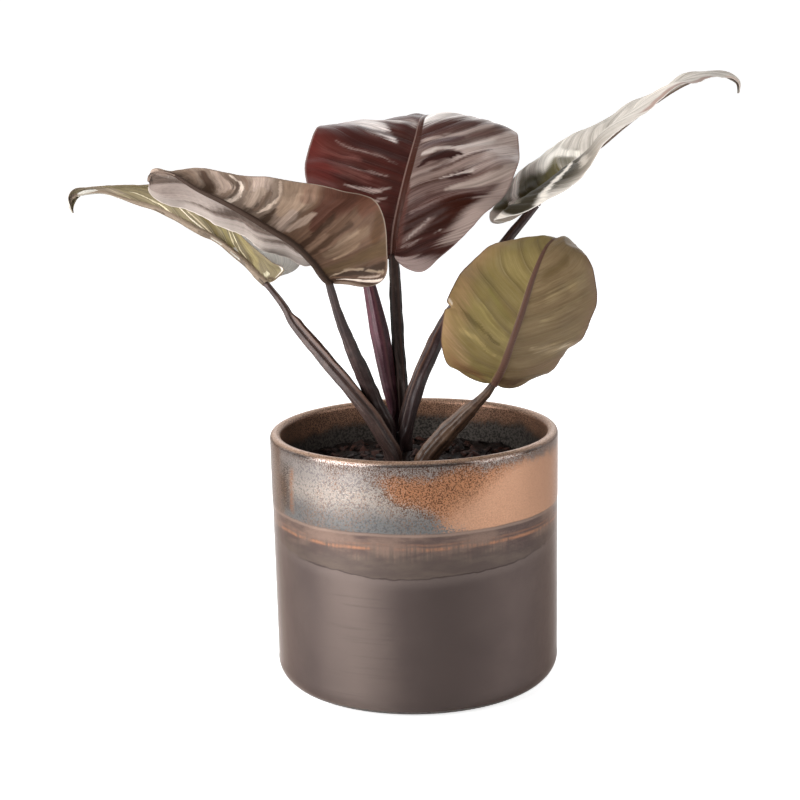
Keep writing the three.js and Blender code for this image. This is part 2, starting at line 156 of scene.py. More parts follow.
class Curve:
    """A Catmull-Rom curve through points, read by share of its length."""

    def __init__(self, points, steps=40):
        p = np.array(points, float)
        p = np.vstack([2 * p[0] - p[1], p, 2 * p[-1] - p[-2]])
        s = np.linspace(0, 1, steps, endpoint=False)[:, None]
        parts = [
            0.5 * (2 * b + (c - a) * s + (2 * a - 5 * b + 4 * c - d) * s**2 + (3 * b - a - 3 * c + d) * s**3)
            for a, b, c, d in zip(p, p[1:], p[2:], p[3:])
        ]
        self.points = np.vstack(parts + [p[-2:-1]])
        lengths = np.linalg.norm(np.diff(self.points, axis=0), axis=1)
        self.length = lengths.sum()
        self.shares = np.concatenate([[0], np.cumsum(lengths)]) / self.length

    def at(self, u):
        return np.stack([np.interp(u, self.shares, self.points[:, k]) for k in range(3)], -1)

    def along(self, u, step=0.01):
        return unit(self.at(np.clip(u + step, 0, 1)) - self.at(np.clip(u - step, 0, 1)))


def unit(v):
    return v / np.maximum(np.linalg.norm(v, axis=-1, keepdims=True), 1e-9)


def smooth(x, low, high):
    """0 below low, 1 above high, with a soft step between."""
    s = np.clip((x - low) / (high - low), 0, 1)
    return s * s * (3 - 2 * s)


def ripple(x, seed, waves=6, lowest=1.0, growth=1.6):
    """Smooth seeded noise along x, about -1 to 1."""
    rng = np.random.default_rng(seed)
    total = np.zeros_like(x, dtype=float)
    weight = 0.0
    for k in range(waves):
        height = growth ** (-0.8 * k)
        total += height * np.sin(2 * math.pi * (lowest * growth**k * x + rng.random()))
        weight += height
    return total / weight * 1.6


def linked(name, data):
    """A new object in the scene."""
    obj = bpy.data.objects.new(name, data)
    bpy.context.scene.collection.objects.link(obj)
    return obj


def mesh_object(name, points, faces, node=None, attributes=None, material=None):
    """A smooth-shaded object from points in millimetres."""
    mesh = bpy.data.meshes.new(name)
    mesh.from_pydata((np.asarray(points) * MM).tolist(), [], faces)
    mesh.validate()
    for key, values in (attributes or {}).items():
        values = np.asarray(values, np.float32)
        if values.ndim == 2:
            layer = mesh.attributes.new(key, "FLOAT_COLOR", "POINT")
            layer.data.foreach_set("color", np.hstack([values, np.ones((len(values), 1), np.float32)]).ravel())
        else:
            layer = mesh.attributes.new(key, "FLOAT", "POINT")
            layer.data.foreach_set("value", values)
    mesh.shade_smooth()
    obj = linked(name, mesh)
    if material:
        mesh.materials.append(material)
    if node:
        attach(obj, "root")
        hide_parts(node)
    return obj


def grid_faces(rows, columns, start=0, flip=False, wrap=False):
    """Quads over a grid of points; wrap closes each row on itself."""
    i, j = np.meshgrid(np.arange(rows - 1), np.arange(columns if wrap else columns - 1), indexing="ij")
    a = start + i * columns + j
    b = start + i * columns + (j + 1) % columns
    quads = np.stack([a, b, b + columns, a + columns], -1).reshape(-1, 4)
    return (quads[:, ::-1] if flip else quads).tolist()


def tube_faces(rows, sides, flip=False):
    """Faces of a closed tube over rows of points, with its two ends."""
    ends = list(range(sides))[::-1], list(range((rows - 1) * sides, rows * sides))
    return grid_faces(rows, sides, flip=flip, wrap=True) + [end[::-1] if flip else end for end in ends]


# Leaves

LEAF_ROWS = 230
HALF_COLUMNS = 56
THICKNESS = 0.5
EDGE_THICKNESS = 0.16
RIB_EDGE = 0.45  # half width of the midrib at its end, to which RIB_WIDTH or the blade's own rib_width is added
RIB_WIDTH = 1.9
RIB_HEIGHT = 1.9
OUTER_GAP = 0.065
MARK_WIDTH = 38  # millimetres that a whole share counts as when marks are laid on a blade


def vein_field(v, creases, seed):
    """Main side veins passed at v, the gap that v lies in as a share of the midrib, and that gap's own strength."""
    below = -OUTER_GAP * np.arange(20, 0, -1)
    above = 1 + OUTER_GAP * np.arange(1, 9)
    stations = np.concatenate([below, creases, above])
    phase = np.interp(v, stations, np.arange(len(stations), dtype=float))
    index = np.clip(np.floor(phase).astype(int), 0, len(stations) - 2)
    strength = np.random.default_rng(seed).uniform(0.6, 1.25, len(stations))
    return phase, np.diff(stations)[index], strength[index]


def blade_grid(spec, seed):
    """Points of the blade's middle surface, and what the marks and the material read."""
    t = 0.004 + 0.982 * np.linspace(0, 1, LEAF_ROWS)
    rib_line = Curve(spec["rib"])
    foot = t ** spec["foot"]
    rib = rib_line.at(foot)
    along = rib_line.along(foot)
    swell = np.sin(math.pi * t) ** 0.5
    share = (0.5 - 0.5 * np.cos(math.pi * np.linspace(0, 1, HALF_COLUMNS + 1) ** 1.12))[None, :]
    halves = []
    for index, name in enumerate(("left", "right")):
        side = -1 if index == 0 else 1
        # Towards its end the blade narrows to a drip tip, more than the solid does
        tip_start, tip_end, tip_loss = spec.get("tip", (0.9, 1, 0))
        narrowing = 1 - tip_loss * smooth(t, tip_start, tip_end)
        reach = (Curve(spec[name]).at(t) - rib) * narrowing[:, None]
        margin = rib + reach
        half = np.linalg.norm(reach, axis=1)
        up = unit(side * np.cross(reach, along))
        middle = rib + 0.5 * reach - 3 * swell[:, None] * along + 2 * spec["cup"][index] * swell[:, None] * up
        s = share[..., None]
        points = (1 - s) ** 2 * rib[:, None] + 2 * s * (1 - s) * middle[:, None] + s**2 * margin[:, None]
        turn = 2 * math.pi * (spec["pleats"] * t**0.9 + 0.3 * index)
        fold = (spec["wave"][index] * np.sin(turn) * swell)[:, None] * share**0.8
        # v follows the side veins, which run forward from the midrib by lean at the margin
        v = t[:, None] - spec["lean"][index] * share
        v = v + 0.007 * ripple(3 * v + 0.8 * share, seed + 7 * index, 3) * share
        phase, gap, strength = vein_field(v, spec["creases"][index], seed + index)
        # Quilting: the blade is drawn in at each main side vein and rises between two of them
        pillow = np.abs(np.sin(math.pi * phase)) ** 0.75 * strength
        size = np.clip(gap * rib_line.length / 8, 0.4, 1.5)
        rise = smooth(share, 0.0, 0.16) * (1 - 0.8 * smooth(share, 0.7, 1))
        narrow = (swell * np.minimum(half / 22, 1))[:, None]
        lift = spec["quilt"][index] * pillow * size * rise * narrow
        # Long soft ripples along the veins, wide dents, and a fine frill on the margin
        lift = lift + spec.get("comb", 0.12) * ripple(16 * v, seed + 3 + index, 4) * rise * narrow
        dents = 0.5 * ripple(t * 3 + 5 * index, seed + 31, 4)[:, None] * ripple(share * 1.5, seed + 57, 3)
        frill = 0.3 * ripple(t * 8, seed + 11 + index, 4)[:, None] * share**5
        lift = lift + fold + (dents * share + frill) * swell[:, None]
        for at_v, at_share, long, wide, height in spec.get("swells", ((), ()))[index]:
            lift = lift + height * np.exp(-(((v - at_v) / long) ** 2) - (((share - at_share) / wide) ** 2))
        points = points + lift[..., None] * up[:, None]
        for at_t, depth, width in spec.get("notches", ((), ()))[index]:
            pull = depth * np.exp(-(((t - at_t) / width) ** 2))[:, None] * share**7
            points = points - pull[..., None] * unit(reach)[:, None]
        halves.append(dict(points=points, reach=share * half[:, None] * side, phase=phase + 60 * index,
                           gap=gap, v=v, share=share * side + 0 * half[:, None]))
    join = {}
    for key in ("points", "reach", "phase", "gap", "v", "share"):
        left, right = halves[0][key], halves[1][key]
        join[key] = np.concatenate([left[:, :0:-1], right], axis=1)
    join["t"] = np.repeat(t[:, None], join["reach"].shape[1], axis=1)
    join["length"] = rib_line.length
    return join


def stroke(x, y, points, soft, rough):
    """How far a stroke through (x, y, half width) covers each place, 0 to 1, with a soft and rough edge."""
    nearest = np.full(x.shape, np.inf)
    for (x0, y0, w0), (x1, y1, w1) in zip(points, points[1:] or points):
        dx, dy = x1 - x0, y1 - y0
        along = np.clip(((x - x0) * dx + (y - y0) * dy) / max(dx * dx + dy * dy, 1e-6), 0, 1)
        distance = np.hypot(x - x0 - along * dx, y - y0 - along * dy)
        nearest = np.minimum(nearest, (distance + rough) / (w0 + (w1 - w0) * along))
    return 1 - smooth(nearest, 1 - soft, 1 + soft)


def strokes(text):
    """The strokes in lines of MARKS_AND_PAINTED_LIGHT: points, colour, strength and softness of each."""
    for line in text.strip().splitlines():
        points, look = line.split(":")
        tint, strength, soft = look.split()
        yield numbers(points), tint, float(strength), float(soft)


def painted(grid, marks, seed):
    """Colour and cover of the marks on one face: strokes laid over each other in order, ragged along the veins.

    A stroke with all its points on one side of the midrib stays on that side.
    """
    x, y = grid["share"] * MARK_WIDTH, grid["v"] * grid["length"]
    drift = ripple(x / 30, seed, 3)
    rough = (0.45 * ripple(0.1 * y + 0.3 * drift, seed + 1, 6)
             + 0.25 * ripple(0.35 * y + 0.5 * drift, seed + 2, 3))
    color, cover = np.zeros((*x.shape, 3)), np.zeros(x.shape)
    for points, tint, strength, soft in marks:
        points = [(share * MARK_WIDTH, v * grid["length"], width) for share, v, width in points]
        mask = strength * stroke(x, y, points, soft, rough)
        if min(p[0] for p in points) * max(p[0] for p in points) > 0:
            mask = mask * (x * points[0][0] >= 0)
        color = color * (1 - mask[..., None]) + np.array(srgb(tint)) * mask[..., None]
        cover = cover * (1 - mask) + mask
    return color / np.maximum(cover, 1e-4)[..., None], cover


def leaf(name, seed, look):
    spec = BLADES[name]
    grid = blade_grid(spec, seed)
    points = grid["points"]
    rows, columns = points.shape[:2]
    normal = unit(np.cross(np.gradient(points, axis=1), np.gradient(points, axis=0)))
    distance = np.abs(grid["reach"])
    taper = (1 - np.linspace(0, 1, rows)[:, None]) ** 0.8
    edge = 1 - smooth(np.abs(grid["share"]), 0.9, 1)
    half = EDGE_THICKNESS / 2 + (THICKNESS - EDGE_THICKNESS) / 2 * edge
    swelling = spec.get("rib_width", RIB_WIDTH)
    rib_width = RIB_EDGE + swelling * taper
    below = RIB_HEIGHT * taper * np.clip(1 - (distance / rib_width) ** 2, 0, 1) ** 0.75
    groove = (0.35 * taper * np.exp(-((distance / (0.55 * rib_width)) ** 2))
              - 0.3 * taper * np.exp(-(((distance - rib_width) / 0.5) ** 2)))
    upper = points + normal * (half + groove)[..., None]
    lower = points - normal * (half + below)[..., None]
    count = rows * columns
    faces = grid_faces(rows, columns) + grid_faces(rows, columns, count, flip=True)
    rim = list(range(0, count, columns))
    for i in range(rows - 1):
        a, b = rim[i], rim[i + 1]
        faces.append([a, b, count + b, count + a])
        faces.append([b + columns - 1, a + columns - 1, count + a + columns - 1, count + b + columns - 1])
    for j in range(columns - 1):
        end = (rows - 1) * columns + j
        faces.append([j + 1, j, count + j, count + j + 1])
        faces.append([end, end + 1, count + end + 1, count + end])
    both = lambda values: np.concatenate([values.ravel(), values.ravel()])
    attributes = {key: both(grid[key]) for key in ("t", "v", "reach", "share", "phase", "gap")}
    attributes["upper"] = np.concatenate([np.ones(count), np.zeros(count)])
    tints, covers = zip(*(painted(grid, strokes(MARKS_AND_PAINTED_LIGHT.get((name, face), "")), seed) for face in ("upper", "lower")))
    attributes["tint"] = np.concatenate([tint.reshape(-1, 3) for tint in tints])
    attributes["cover"] = np.concatenate([cover.ravel() for cover in covers])
    material = leaf_material(name + "_skin", seed, look, grid["length"], swelling)
    both_faces = np.concatenate([upper.reshape(-1, 3), lower.reshape(-1, 3)])
    return mesh_object(name, both_faces, faces, name, attributes, material)


# Stalks, sheath and stem

ROD_SIDES = 72
PLANT_AXIS = np.array([-7.0, 0.0, 0.0])
WING_ANGLE = 0.55  # where the coloured edges of a sheath lie, from the side that faces the axis


def rod(name, spec, rings, outline, material):
    """A rod along a path. outline gives each ring's radii by angle, where angle 0 faces the plant's axis."""
    line = Curve(spec["path"])
    u = np.linspace(0, 1, rings)
    centre = line.at(u)
    along = line.along(u)
    inner = PLANT_AXIS - centre * [1, 1, 0]
    inner[:, 2] = 40
    inner = unit(inner - np.sum(inner * along, -1, keepdims=True) * along)
    across = np.cross(along, inner)
    radius = np.interp(u, np.linspace(0, 1, len(spec["radii"])), spec["radii"])
    angle = np.linspace(0, 2 * math.pi, ROD_SIDES, endpoint=False)
    reach = outline(u[:, None], angle[None, :], radius[:, None])
    points = centre[:, None] + reach[..., None] * (
        np.cos(angle)[None, :, None] * inner[:, None] + np.sin(angle)[None, :, None] * across[:, None])
    whole = np.ones((1, ROD_SIDES))
    attributes = {
        "row": (u[:, None] * line.length * whole).ravel(),
        "t": (u[:, None] * whole).ravel(),
        "around": np.broadcast_to(angle[None, :], (rings, ROD_SIDES)).ravel(),
    }
    faces = tube_faces(rings, ROD_SIDES, flip=True)
    return mesh_object(name, points.reshape(-1, 3), faces, name, attributes, material)


def turned(angle, where):
    """Distance between two angles, 0 to pi."""
    return np.abs((angle - where + math.pi) % (2 * math.pi) - math.pi)


def stalk_outline(spec, seed):
    def outline(u, angle, radius):
        # An oval section with a shallow channel and two sheath flanges on the side of the plant's axis
        oval = radius * (0.93 + 0.07 * np.cos(2 * (angle - math.pi / 2)))
        sheath = 1 - smooth(u, spec["sheath"] - 0.06, spec["sheath"])
        open_up = 0.35 + 0.65 * smooth(u, 0.0, spec["sheath"])
        spread = 0.62 - 0.1 * open_up
        flange = sum(np.exp(-((turned(angle, side * spread) / 0.17) ** 2)) for side in (-1, 1))
        channel = np.exp(-((turned(angle, 0) / 0.5) ** 2))
        ribs = 0.035 * radius * np.sin(9 * angle + 2 * np.sin(3 * u)) * (1 - channel)
        bend = 0.05 * radius * ripple(u * 4 + angle * 0.15, seed, 4)
        hollow = 0.22 * radius * channel * (0.4 + 0.6 * sheath)
        return oval + spec["wing"] * sheath * flange - hollow + ribs + bend
    return outline


def sheath_outline(u, angle, radius):
    keels = sum(np.exp(-((turned(angle, where) / 0.2) ** 2)) for where in (2.15, -2.45))
    seam = np.exp(-((turned(angle, 0) / 0.3) ** 2))
    folds = 0.02 * radius * np.sin(11 * angle)
    return radius * (0.93 + 0.2 * keels - 0.1 * seam) + folds


def stem_outline(u, angle, radius):
    scars = 0.35 * np.exp(-(((u * 7) % 1 - 0.5) / 0.09) ** 2)
    lumps = (0.3 * ripple(u * 5 + np.sin(angle), 3, 4)
             + 0.25 * ripple(angle / math.pi * 2 + u, 9, 4) * np.sin(angle / 2) ** 2)
    return radius + scars + lumps


# Bark mix

CHIPS = 620
PALE_CHIPS = 0.04  # share of the chips
MIX_DEPTH = 12  # how far the solid of the mix reaches down


def noise2(x, y, seed, scale, octaves):
    """Seeded value noise over x and y, about -1 to 1."""
    rng = np.random.default_rng(seed)
    total = np.zeros_like(x, dtype=float)
    for k in range(octaves):
        table = rng.uniform(-1, 1, (64, 64))
        u, v = x / scale * 2**k + 17.3 * k + 500, y / scale * 2**k + 9.1 * k + 500
        i, j = np.floor(u).astype(int), np.floor(v).astype(int)
        a, b = smooth(u - i, 0, 1), smooth(v - j, 0, 1)
        grid = lambda di, dj: table[(i + di) % 64, (j + dj) % 64]
        near, far = grid(0, 0) * (1 - a) + grid(1, 0) * a, grid(0, 1) * (1 - a) + grid(1, 1) * a
        total += 0.55**k * (near * (1 - b) + far * b)
    return total


def soil_height(x, y):
    crumbs = 0.9 * noise2(x, y, 4, 9, 3) + 0.75 * np.abs(noise2(x, y, 8, 3.2, 3))
    return SOIL_HEIGHT - 0.4 + crumbs


def bark_mix(material):
    rim = POT_TOP_RADIUS - WALL - 0.1
    rings, sides = 110, 260
    radius = rim * np.linspace(0.002, 1, rings)[:, None]
    angle = np.linspace(0, 2 * math.pi, sides, endpoint=False)[None, :]
    x, y = radius * np.cos(angle), radius * np.sin(angle)
    top = np.stack([x, y, soil_height(x, y)], -1).reshape(-1, 3)
    bottom = np.stack([x[-1], y[-1], np.full(sides, SOIL_HEIGHT - MIX_DEPTH)], -1)
    return mesh_object("soil", np.concatenate([top, bottom]), tube_faces(rings + 1, sides), "soil", None, material)


def lump(rng, size):
    """A bark chip: a box with broken, rounded faces, about size across. Returns points and faces."""
    steps = 4
    points, faces, index = [], [], {}
    for axis in range(3):
        for end in (-1, 1):
            for i in range(steps):
                for j in range(steps):
                    quad = []
                    for di, dj in ((0, 0), (1, 0), (1, 1), (0, 1)):
                        p = [0, 0, 0]
                        p[axis] = end
                        p[(axis + 1) % 3] = 2 * (i + di) / steps - 1
                        p[(axis + 2) % 3] = 2 * (j + dj) / steps - 1
                        key = tuple(p)
                        if key not in index:
                            index[key] = len(points)
                            points.append(p)
                        quad.append(index[key])
                    faces.append(quad if end > 0 else quad[::-1])
    p = np.array(points, float)
    p = p * (0.62 + 0.38 / np.maximum(np.linalg.norm(p, axis=1, keepdims=True), 0.4))
    p += 0.16 * rng.uniform(-1, 1, p.shape)
    p *= np.array(size) / 2
    return p, faces


def chips(material):
    rng = np.random.default_rng(21)
    points, faces, shade = [], [], []
    start = 0
    for _ in range(CHIPS):
        reach = (POT_TOP_RADIUS - WALL - 5) * math.sqrt(rng.random())
        angle = rng.uniform(0, 2 * math.pi)
        x, y = reach * math.cos(angle), reach * math.sin(angle)
        light = rng.random() < PALE_CHIPS
        big = rng.uniform(1.8, 6.0) * (0.5 if light else 1)
        size = (big, big * rng.uniform(0.35, 0.8), big * rng.uniform(0.2, 0.45))
        body, quads = lump(rng, size)
        turn = Matrix.Rotation(rng.uniform(0, 2 * math.pi), 3, "Z")
        for axis in "XY":
            turn = turn @ Matrix.Rotation(rng.normal(0, 0.45), 3, axis)
        body = body @ np.array(turn).T
        height = float(soil_height(np.array([x]), np.array([y]))[0])
        body = body + [x, y, height + 0.12 * size[2] + 0.3]
        if np.hypot(body[:, 0], body[:, 1]).max() > POT_TOP_RADIUS - WALL - 0.6:
            continue
        points.append(body)
        faces.extend([[start + i for i in quad] for quad in quads])
        shade.append(np.full(len(body), 1.0 if light else rng.uniform(0, 0.75)))
        start += len(body)
    shades = {"shade": np.concatenate(shade)}
    obj = mesh_object("bark_chips", np.concatenate(points), faces, None, shades, material)
    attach(obj, "root")
    return obj


# Pot

POT_SIDES = 320
GLAZE_STEP = 0.16  # millimetres that the upper glaze stands out over the lower one


def pot(material):
    profile = []

    def arc(x, z, radius, start, end, steps):
        for angle in np.linspace(math.radians(start), math.radians(end), steps):
            profile.append((x + radius * math.cos(angle), z + radius * math.sin(angle)))

    def wall_at(z):
        share = (z - POT_CORNER) / (POT_HEIGHT - lip - POT_CORNER)
        return POT_FOOT_RADIUS + (POT_TOP_RADIUS - POT_FOOT_RADIUS) * share

    lip = WALL / 2
    inner = POT_CORNER - WALL
    for r in np.linspace(8, POT_FOOT_RADIUS - POT_CORNER - 1, 6):
        profile.append((r, 0))
    arc(POT_FOOT_RADIUS - POT_CORNER, POT_CORNER, POT_CORNER, -90, 0, 18)
    for z in np.linspace(POT_CORNER + 2, POT_HEIGHT - lip - 1.5, 60):
        glaze = GLAZE_STEP * smooth(z, DIP_LINE - 0.5, DIP_LINE + 0.6)
        profile.append((wall_at(z) - GLAZE_STEP + glaze, z))
    arc(POT_TOP_RADIUS - lip, POT_HEIGHT - lip, lip, 0, 180, 22)
    for z in np.linspace(POT_HEIGHT - lip - 2, FLOOR + inner + 2, 24):
        profile.append((wall_at(z) - WALL, z))
    arc(POT_FOOT_RADIUS - POT_CORNER, FLOOR + inner, inner, 0, -90, 8)
    ring = np.array(profile)
    angle = np.linspace(0, 2 * math.pi, POT_SIDES, endpoint=False)
    wobble = 1 + 0.0012 * ripple(angle / (2 * math.pi) * 2, 5, 2, 1.0, 2.0)
    points = np.stack([
        ring[:, 0, None] * (np.cos(angle) * wobble)[None, :],
        ring[:, 0, None] * (np.sin(angle) * wobble)[None, :],
        np.repeat(ring[:, 1, None], POT_SIDES, axis=1)], -1).reshape(-1, 3)
    return mesh_object("pot", points, tube_faces(len(ring), POT_SIDES), "pot", None, material)


# Materials

class Graph:
    """Builds a material's nodes. Values may be numbers, hex colours or other nodes' outputs."""

    def __init__(self, name):
        self.material = bpy.data.materials.new(name)
        self.material.use_nodes = True
        self.tree = self.material.node_tree
        self.tree.nodes.clear()
        self.shader = self.tree.nodes.new("ShaderNodeBsdfPrincipled")
        output = self.tree.nodes.new("ShaderNodeOutputMaterial")
        self.tree.links.new(self.shader.outputs[0], output.inputs[0])

    def feed(self, socket, value):
        if isinstance(value, bpy.types.NodeSocket):
            self.tree.links.new(value, socket)
        elif value is not None:
            if isinstance(value, str):
                value = srgb(value)
            if socket.type == "RGBA" and len(value) == 3:
                value = (*value, 1)
            socket.default_value = value

    def node(self, kind, *values, **settings):
        made = self.tree.nodes.new("ShaderNode" + kind)
        for key, value in settings.items():
            setattr(made, key, value)
        for socket, value in zip(made.inputs, values):
            self.feed(socket, value)
        return made

    def attribute(self, name):
        return self.node("Attribute", attribute_name=name).outputs["Fac"]

    def math(self, operation, *values, clamp=False):
        return self.node("Math", *values, operation=operation, use_clamp=clamp).outputs[0]

    def add(self, a, b):
        return self.math("ADD", a, b)

    def sub(self, a, b):
        return self.math("SUBTRACT", a, b)

    def mul(self, a, b):
        return self.math("MULTIPLY", a, b)

    def fit(self, a, factor, offset):
        return self.math("MULTIPLY_ADD", a, factor, offset)

    def abs(self, a):
        return self.math("ABSOLUTE", a)

    def inv(self, a):
        """1 where a is 0, and 0 where it is 1."""
        return self.math("SUBTRACT", 1.0, a)

    def step(self, value, low, high):
        """0 below low, 1 above high, smoothly."""
        made = self.node("MapRange", value, low, high, 0.0, 1.0, interpolation_type="SMOOTHSTEP")
        return made.outputs[0]

    def vector(self, x, y, z):
        return self.node("CombineXYZ", x, y, z).outputs[0]

    def named(self, kind, **values):
        """A node with values for the inputs of these names."""
        made = self.node(kind)
        for key, value in values.items():
            self.feed(made.inputs[key], value)
        return made.outputs

    def place(self):
        return self.node("TexCoord").outputs["Object"]

    def noise(self, vector, scale, detail=3.0, roughness=0.55):
        return self.named("TexNoise", Vector=vector, Scale=scale, Detail=detail, Roughness=roughness)["Fac"]

    def mix(self, factor, a, b):
        made = self.node("Mix", data_type="RGBA")
        for index, value in ((0, factor), (6, a), (7, b)):
            self.feed(made.inputs[index], value)
        return made.outputs[2]

    def lay(self, color, tint, mask, strength):
        """Lays a tint over a colour where mask is 1, at a strength."""
        return self.mix(self.mul(mask, strength), color, tint)

    def scaled(self, color, factor):
        made = self.node("VectorMath", color, operation="SCALE")
        self.feed(made.inputs["Scale"], factor)
        return made.outputs[0]

    def bump(self, height, strength, distance):
        return self.named("Bump", Height=height, Strength=strength, Distance=distance)[0]

    def finish(self, color, roughness, normal=None, **values):
        self.feed(self.shader.inputs["Base Color"], color)
        self.feed(self.shader.inputs["Roughness"], roughness)
        if normal is not None:
            self.feed(self.shader.inputs["Normal"], normal)
        for key, value in values.items():
            self.feed(self.shader.inputs[key.replace("_", " ").title().replace("Ior", "IOR")], value)
        return self.material


def srgb(text):
    """A hex colour as linear numbers."""
    parts = [int(text[i:i + 2], 16) / 255 for i in (0, 2, 4)]
    return tuple(c / 12.92 if c <= 0.04045 else ((c + 0.055) / 1.055) ** 2.4 for c in parts)


# How strongly fine veins, side veins, the painted shade in the dips along them and the mottle show, then
# roughness and brightness, and whether the marks cover the midrib
LEAF_DEFAULTS = dict(streak=0.3, line=0.4, dip=0.25, mottle=0.4, rough=0.4, gain=1.0, rib_under=False)


def leaf_side(g, look, fields):
    """The colour of one half of one face."""
    look = {**LEAF_DEFAULTS, **look}
    marked = g.scaled(fields["tint"], g.fit(fields["fine"], 1.3, 0.35))
    color = g.mix(g.step(fields["broad"], 0.32, 0.68), look["base"], look["second"])
    color = g.lay(color, look["third"], fields["mottle"], look["mottle"])
    color = g.lay(color, look["vein"], g.step(fields["fine"], 0.35, 0.75), look["streak"])
    # Painted shade in the dips along the side veins
    color = g.lay(color, look["crease_shade"], fields["valley_shade_mask"], look["dip"])
    color = g.lay(color, look["vein"], fields["line"], look["line"])
    if look["rib_under"]:
        color = g.mix(fields["rib"], color, look["rib"])
    color = g.scaled(g.mix(fields["cover"], color, marked), look["gain"])
    if not look["rib_under"]:
        color = g.mix(fields["rib"], color, look["rib"])
    if "crest" in look:
        color = g.mix(fields["crest"], color, look["crest"])
    if "rim" in look:
        tint, start, strength = look["rim"]
        color = g.lay(color, tint, g.step(fields["width"], start, 1), strength)
    return g.mix(g.step(fields["width"], 0.978, 0.997), color, look["edge"])


def leaf_material(name, seed, look, length, rib_width):
    """look holds colours for the upper and lower faces, and changes to them for the left and right halves."""
    g = Graph(name)
    reach, share, phase, upper, v, t, gap, cover = map(
        g.attribute, ("reach", "share", "phase", "upper", "v", "t", "gap", "cover"))
    width = g.abs(share)
    # Fine parallel veins keep their distance, so they are counted in millimetres along the midrib
    mm = g.mul(v, length)
    fine = g.noise(g.vector(g.mul(mm, 0.85), g.mul(share, 2.2), seed), 1, 4, 0.7)
    hair = g.noise(g.vector(g.mul(mm, 3.2), g.mul(share, 5), seed + 9), 1, 2, 0.6)
    broad = g.noise(g.vector(g.mul(mm, 0.16), g.mul(share, 1.8), seed + 4), 1, 2)
    place = g.place()
    mottle = g.noise(place, 60, 4, 0.6)
    grain = g.noise(place, 900, 2)
    away = g.sub(0.5, g.abs(g.sub(g.math("FRACT", phase), 0.5)))
    away_mm = g.mul(g.mul(away, gap), length)
    fade = g.inv(g.step(width, 0.72, 1))
    line = g.mul(g.inv(g.step(away_mm, 0.12, 0.5)), fade)
    # Where painted shade goes: the dips at the main side veins
    valley_shade_mask = g.mul(g.inv(g.step(away, 0.02, 0.3)), fade)
    taper = g.math("POWER", g.inv(t), 0.8)
    ridge = g.math("DIVIDE", g.abs(reach), g.fit(taper, rib_width, RIB_EDGE))
    rib = g.inv(g.step(ridge, 0.8, 1.12))
    crest = g.mul(g.step(ridge, 0.6, 0.8), g.inv(g.step(ridge, 1, 1.2)))
    # The veins fray the soft edges of the marks
    soft = g.mul(cover, g.inv(cover))
    ragged = g.fit(g.mul(g.sub(hair, 0.5), soft), 3, g.mul(soft, g.mul(g.sub(fine, 0.5), 9)))
    fields = dict(
        crest=crest, width=width, fine=fine, broad=broad, mottle=g.step(mottle, 0.3, 0.7), line=line, valley_shade_mask=valley_shade_mask,
        rib=rib, cover=g.math("ADD", cover, ragged, clamp=True),
        tint=g.node("Attribute", attribute_name="tint").outputs["Color"])
    right = g.step(share, -0.01, 0.01)
    faces = []
    for key in ("lower", "upper"):
        halves = [leaf_side(g, {**look[key], **look.get(key + half, {})}, fields) for half in ("_left", "_right")]
        faces.append(g.mix(right, halves[0], halves[1]))
    color = g.mix(upper, faces[0], faces[1])
    rough = [look[key].get("rough", LEAF_DEFAULTS["rough"]) for key in ("lower", "upper")]
    roughness = g.fit(g.sub(fine, 0.5), 0.25, g.fit(upper, rough[1] - rough[0], rough[0]))
    relief = g.fit(hair, 0.35, fine)
    relief = g.fit(line, g.fit(upper, -1.2, 0.6), relief)
    relief = g.fit(grain, 0.1, relief)
    return g.finish(color, roughness, g.bump(relief, 0.6, 0.25 * MM), specular_ior_level=look["shine"])


def stalk_material(name, colors):
    """colors are those of the skin, its streaks, its foot, its specks and its wings."""
    g = Graph(name)
    base, second, foot, light, wing = colors.split()
    row, t, around = g.attribute("row"), g.attribute("t"), g.attribute("around")
    lines = g.noise(g.vector(g.mul(g.math("SINE", around), 6), g.mul(g.math("COSINE", around), 6),
                             g.mul(row, 0.035)), 1, 4, 0.6)
    place = g.place()
    mottle = g.noise(place, 150, 4, 0.6)
    specks = g.noise(place, 1500, 1)
    color = g.mix(g.step(lines, 0.35, 0.65), base, second)
    color = g.lay(color, light, g.step(mottle, 0.45, 0.75), 0.4)
    from_wing = g.abs(g.sub(g.abs(g.sub(around, math.pi)), math.pi - WING_ANGLE))
    flank = g.inv(g.step(from_wing, 0.08, 0.3))
    color = g.lay(color, wing, flank, 0.6)
    color = g.mix(g.inv(g.step(t, 0, 0.3)), color, foot)
    color = g.lay(color, light, g.step(specks, 0.66, 0.72), 0.5)
    relief = g.fit(specks, 0.2, lines)
    return g.finish(color, g.fit(lines, 0.2, 0.3), g.bump(relief, 0.5, 0.3 * MM), specular_ior_level=0.28)


def stem_material():
    g = Graph("stem_bark")
    place = g.place()
    mottle = g.noise(place, 260, 5, 0.65)
    color = g.mix(g.step(mottle, 0.35, 0.7), "1b1412", "3a2a22")
    return g.finish(color, 0.6, g.bump(mottle, 0.6, 0.8 * MM))


def soil_material():
    g = Graph("bark_mix")
    place = g.place()
    coarse = g.noise(place, 320, 5, 0.7)
    fine = g.noise(place, 1400, 3, 0.7)
    color = g.mix(g.step(coarse, 0.3, 0.7), "0d0807", "22150f")
    color = g.lay(color, "4a2c1f", g.step(fine, 0.6, 0.72), 0.6)
    relief = g.add(coarse, g.mul(fine, 0.5))
    return g.finish(color, 0.8, g.bump(relief, 0.9, 1.2 * MM), specular_ior_level=0.2)


def chip_material():
    g = Graph("bark_chip")
    shade = g.attribute("shade")
    place = g.place()
    grain = g.noise(place, 700, 4, 0.65)
    color = g.mix(g.step(shade, 0, 0.8), "140c0a", "40231a")
    color = g.mix(g.step(shade, 0.9, 0.95), color, "b08d78")
    color = g.lay(color, "0b0605", g.step(grain, 0.35, 0.65), 0.5)
    return g.finish(color, 0.7, g.bump(grain, 0.7, 0.6 * MM), specular_ior_level=0.25)


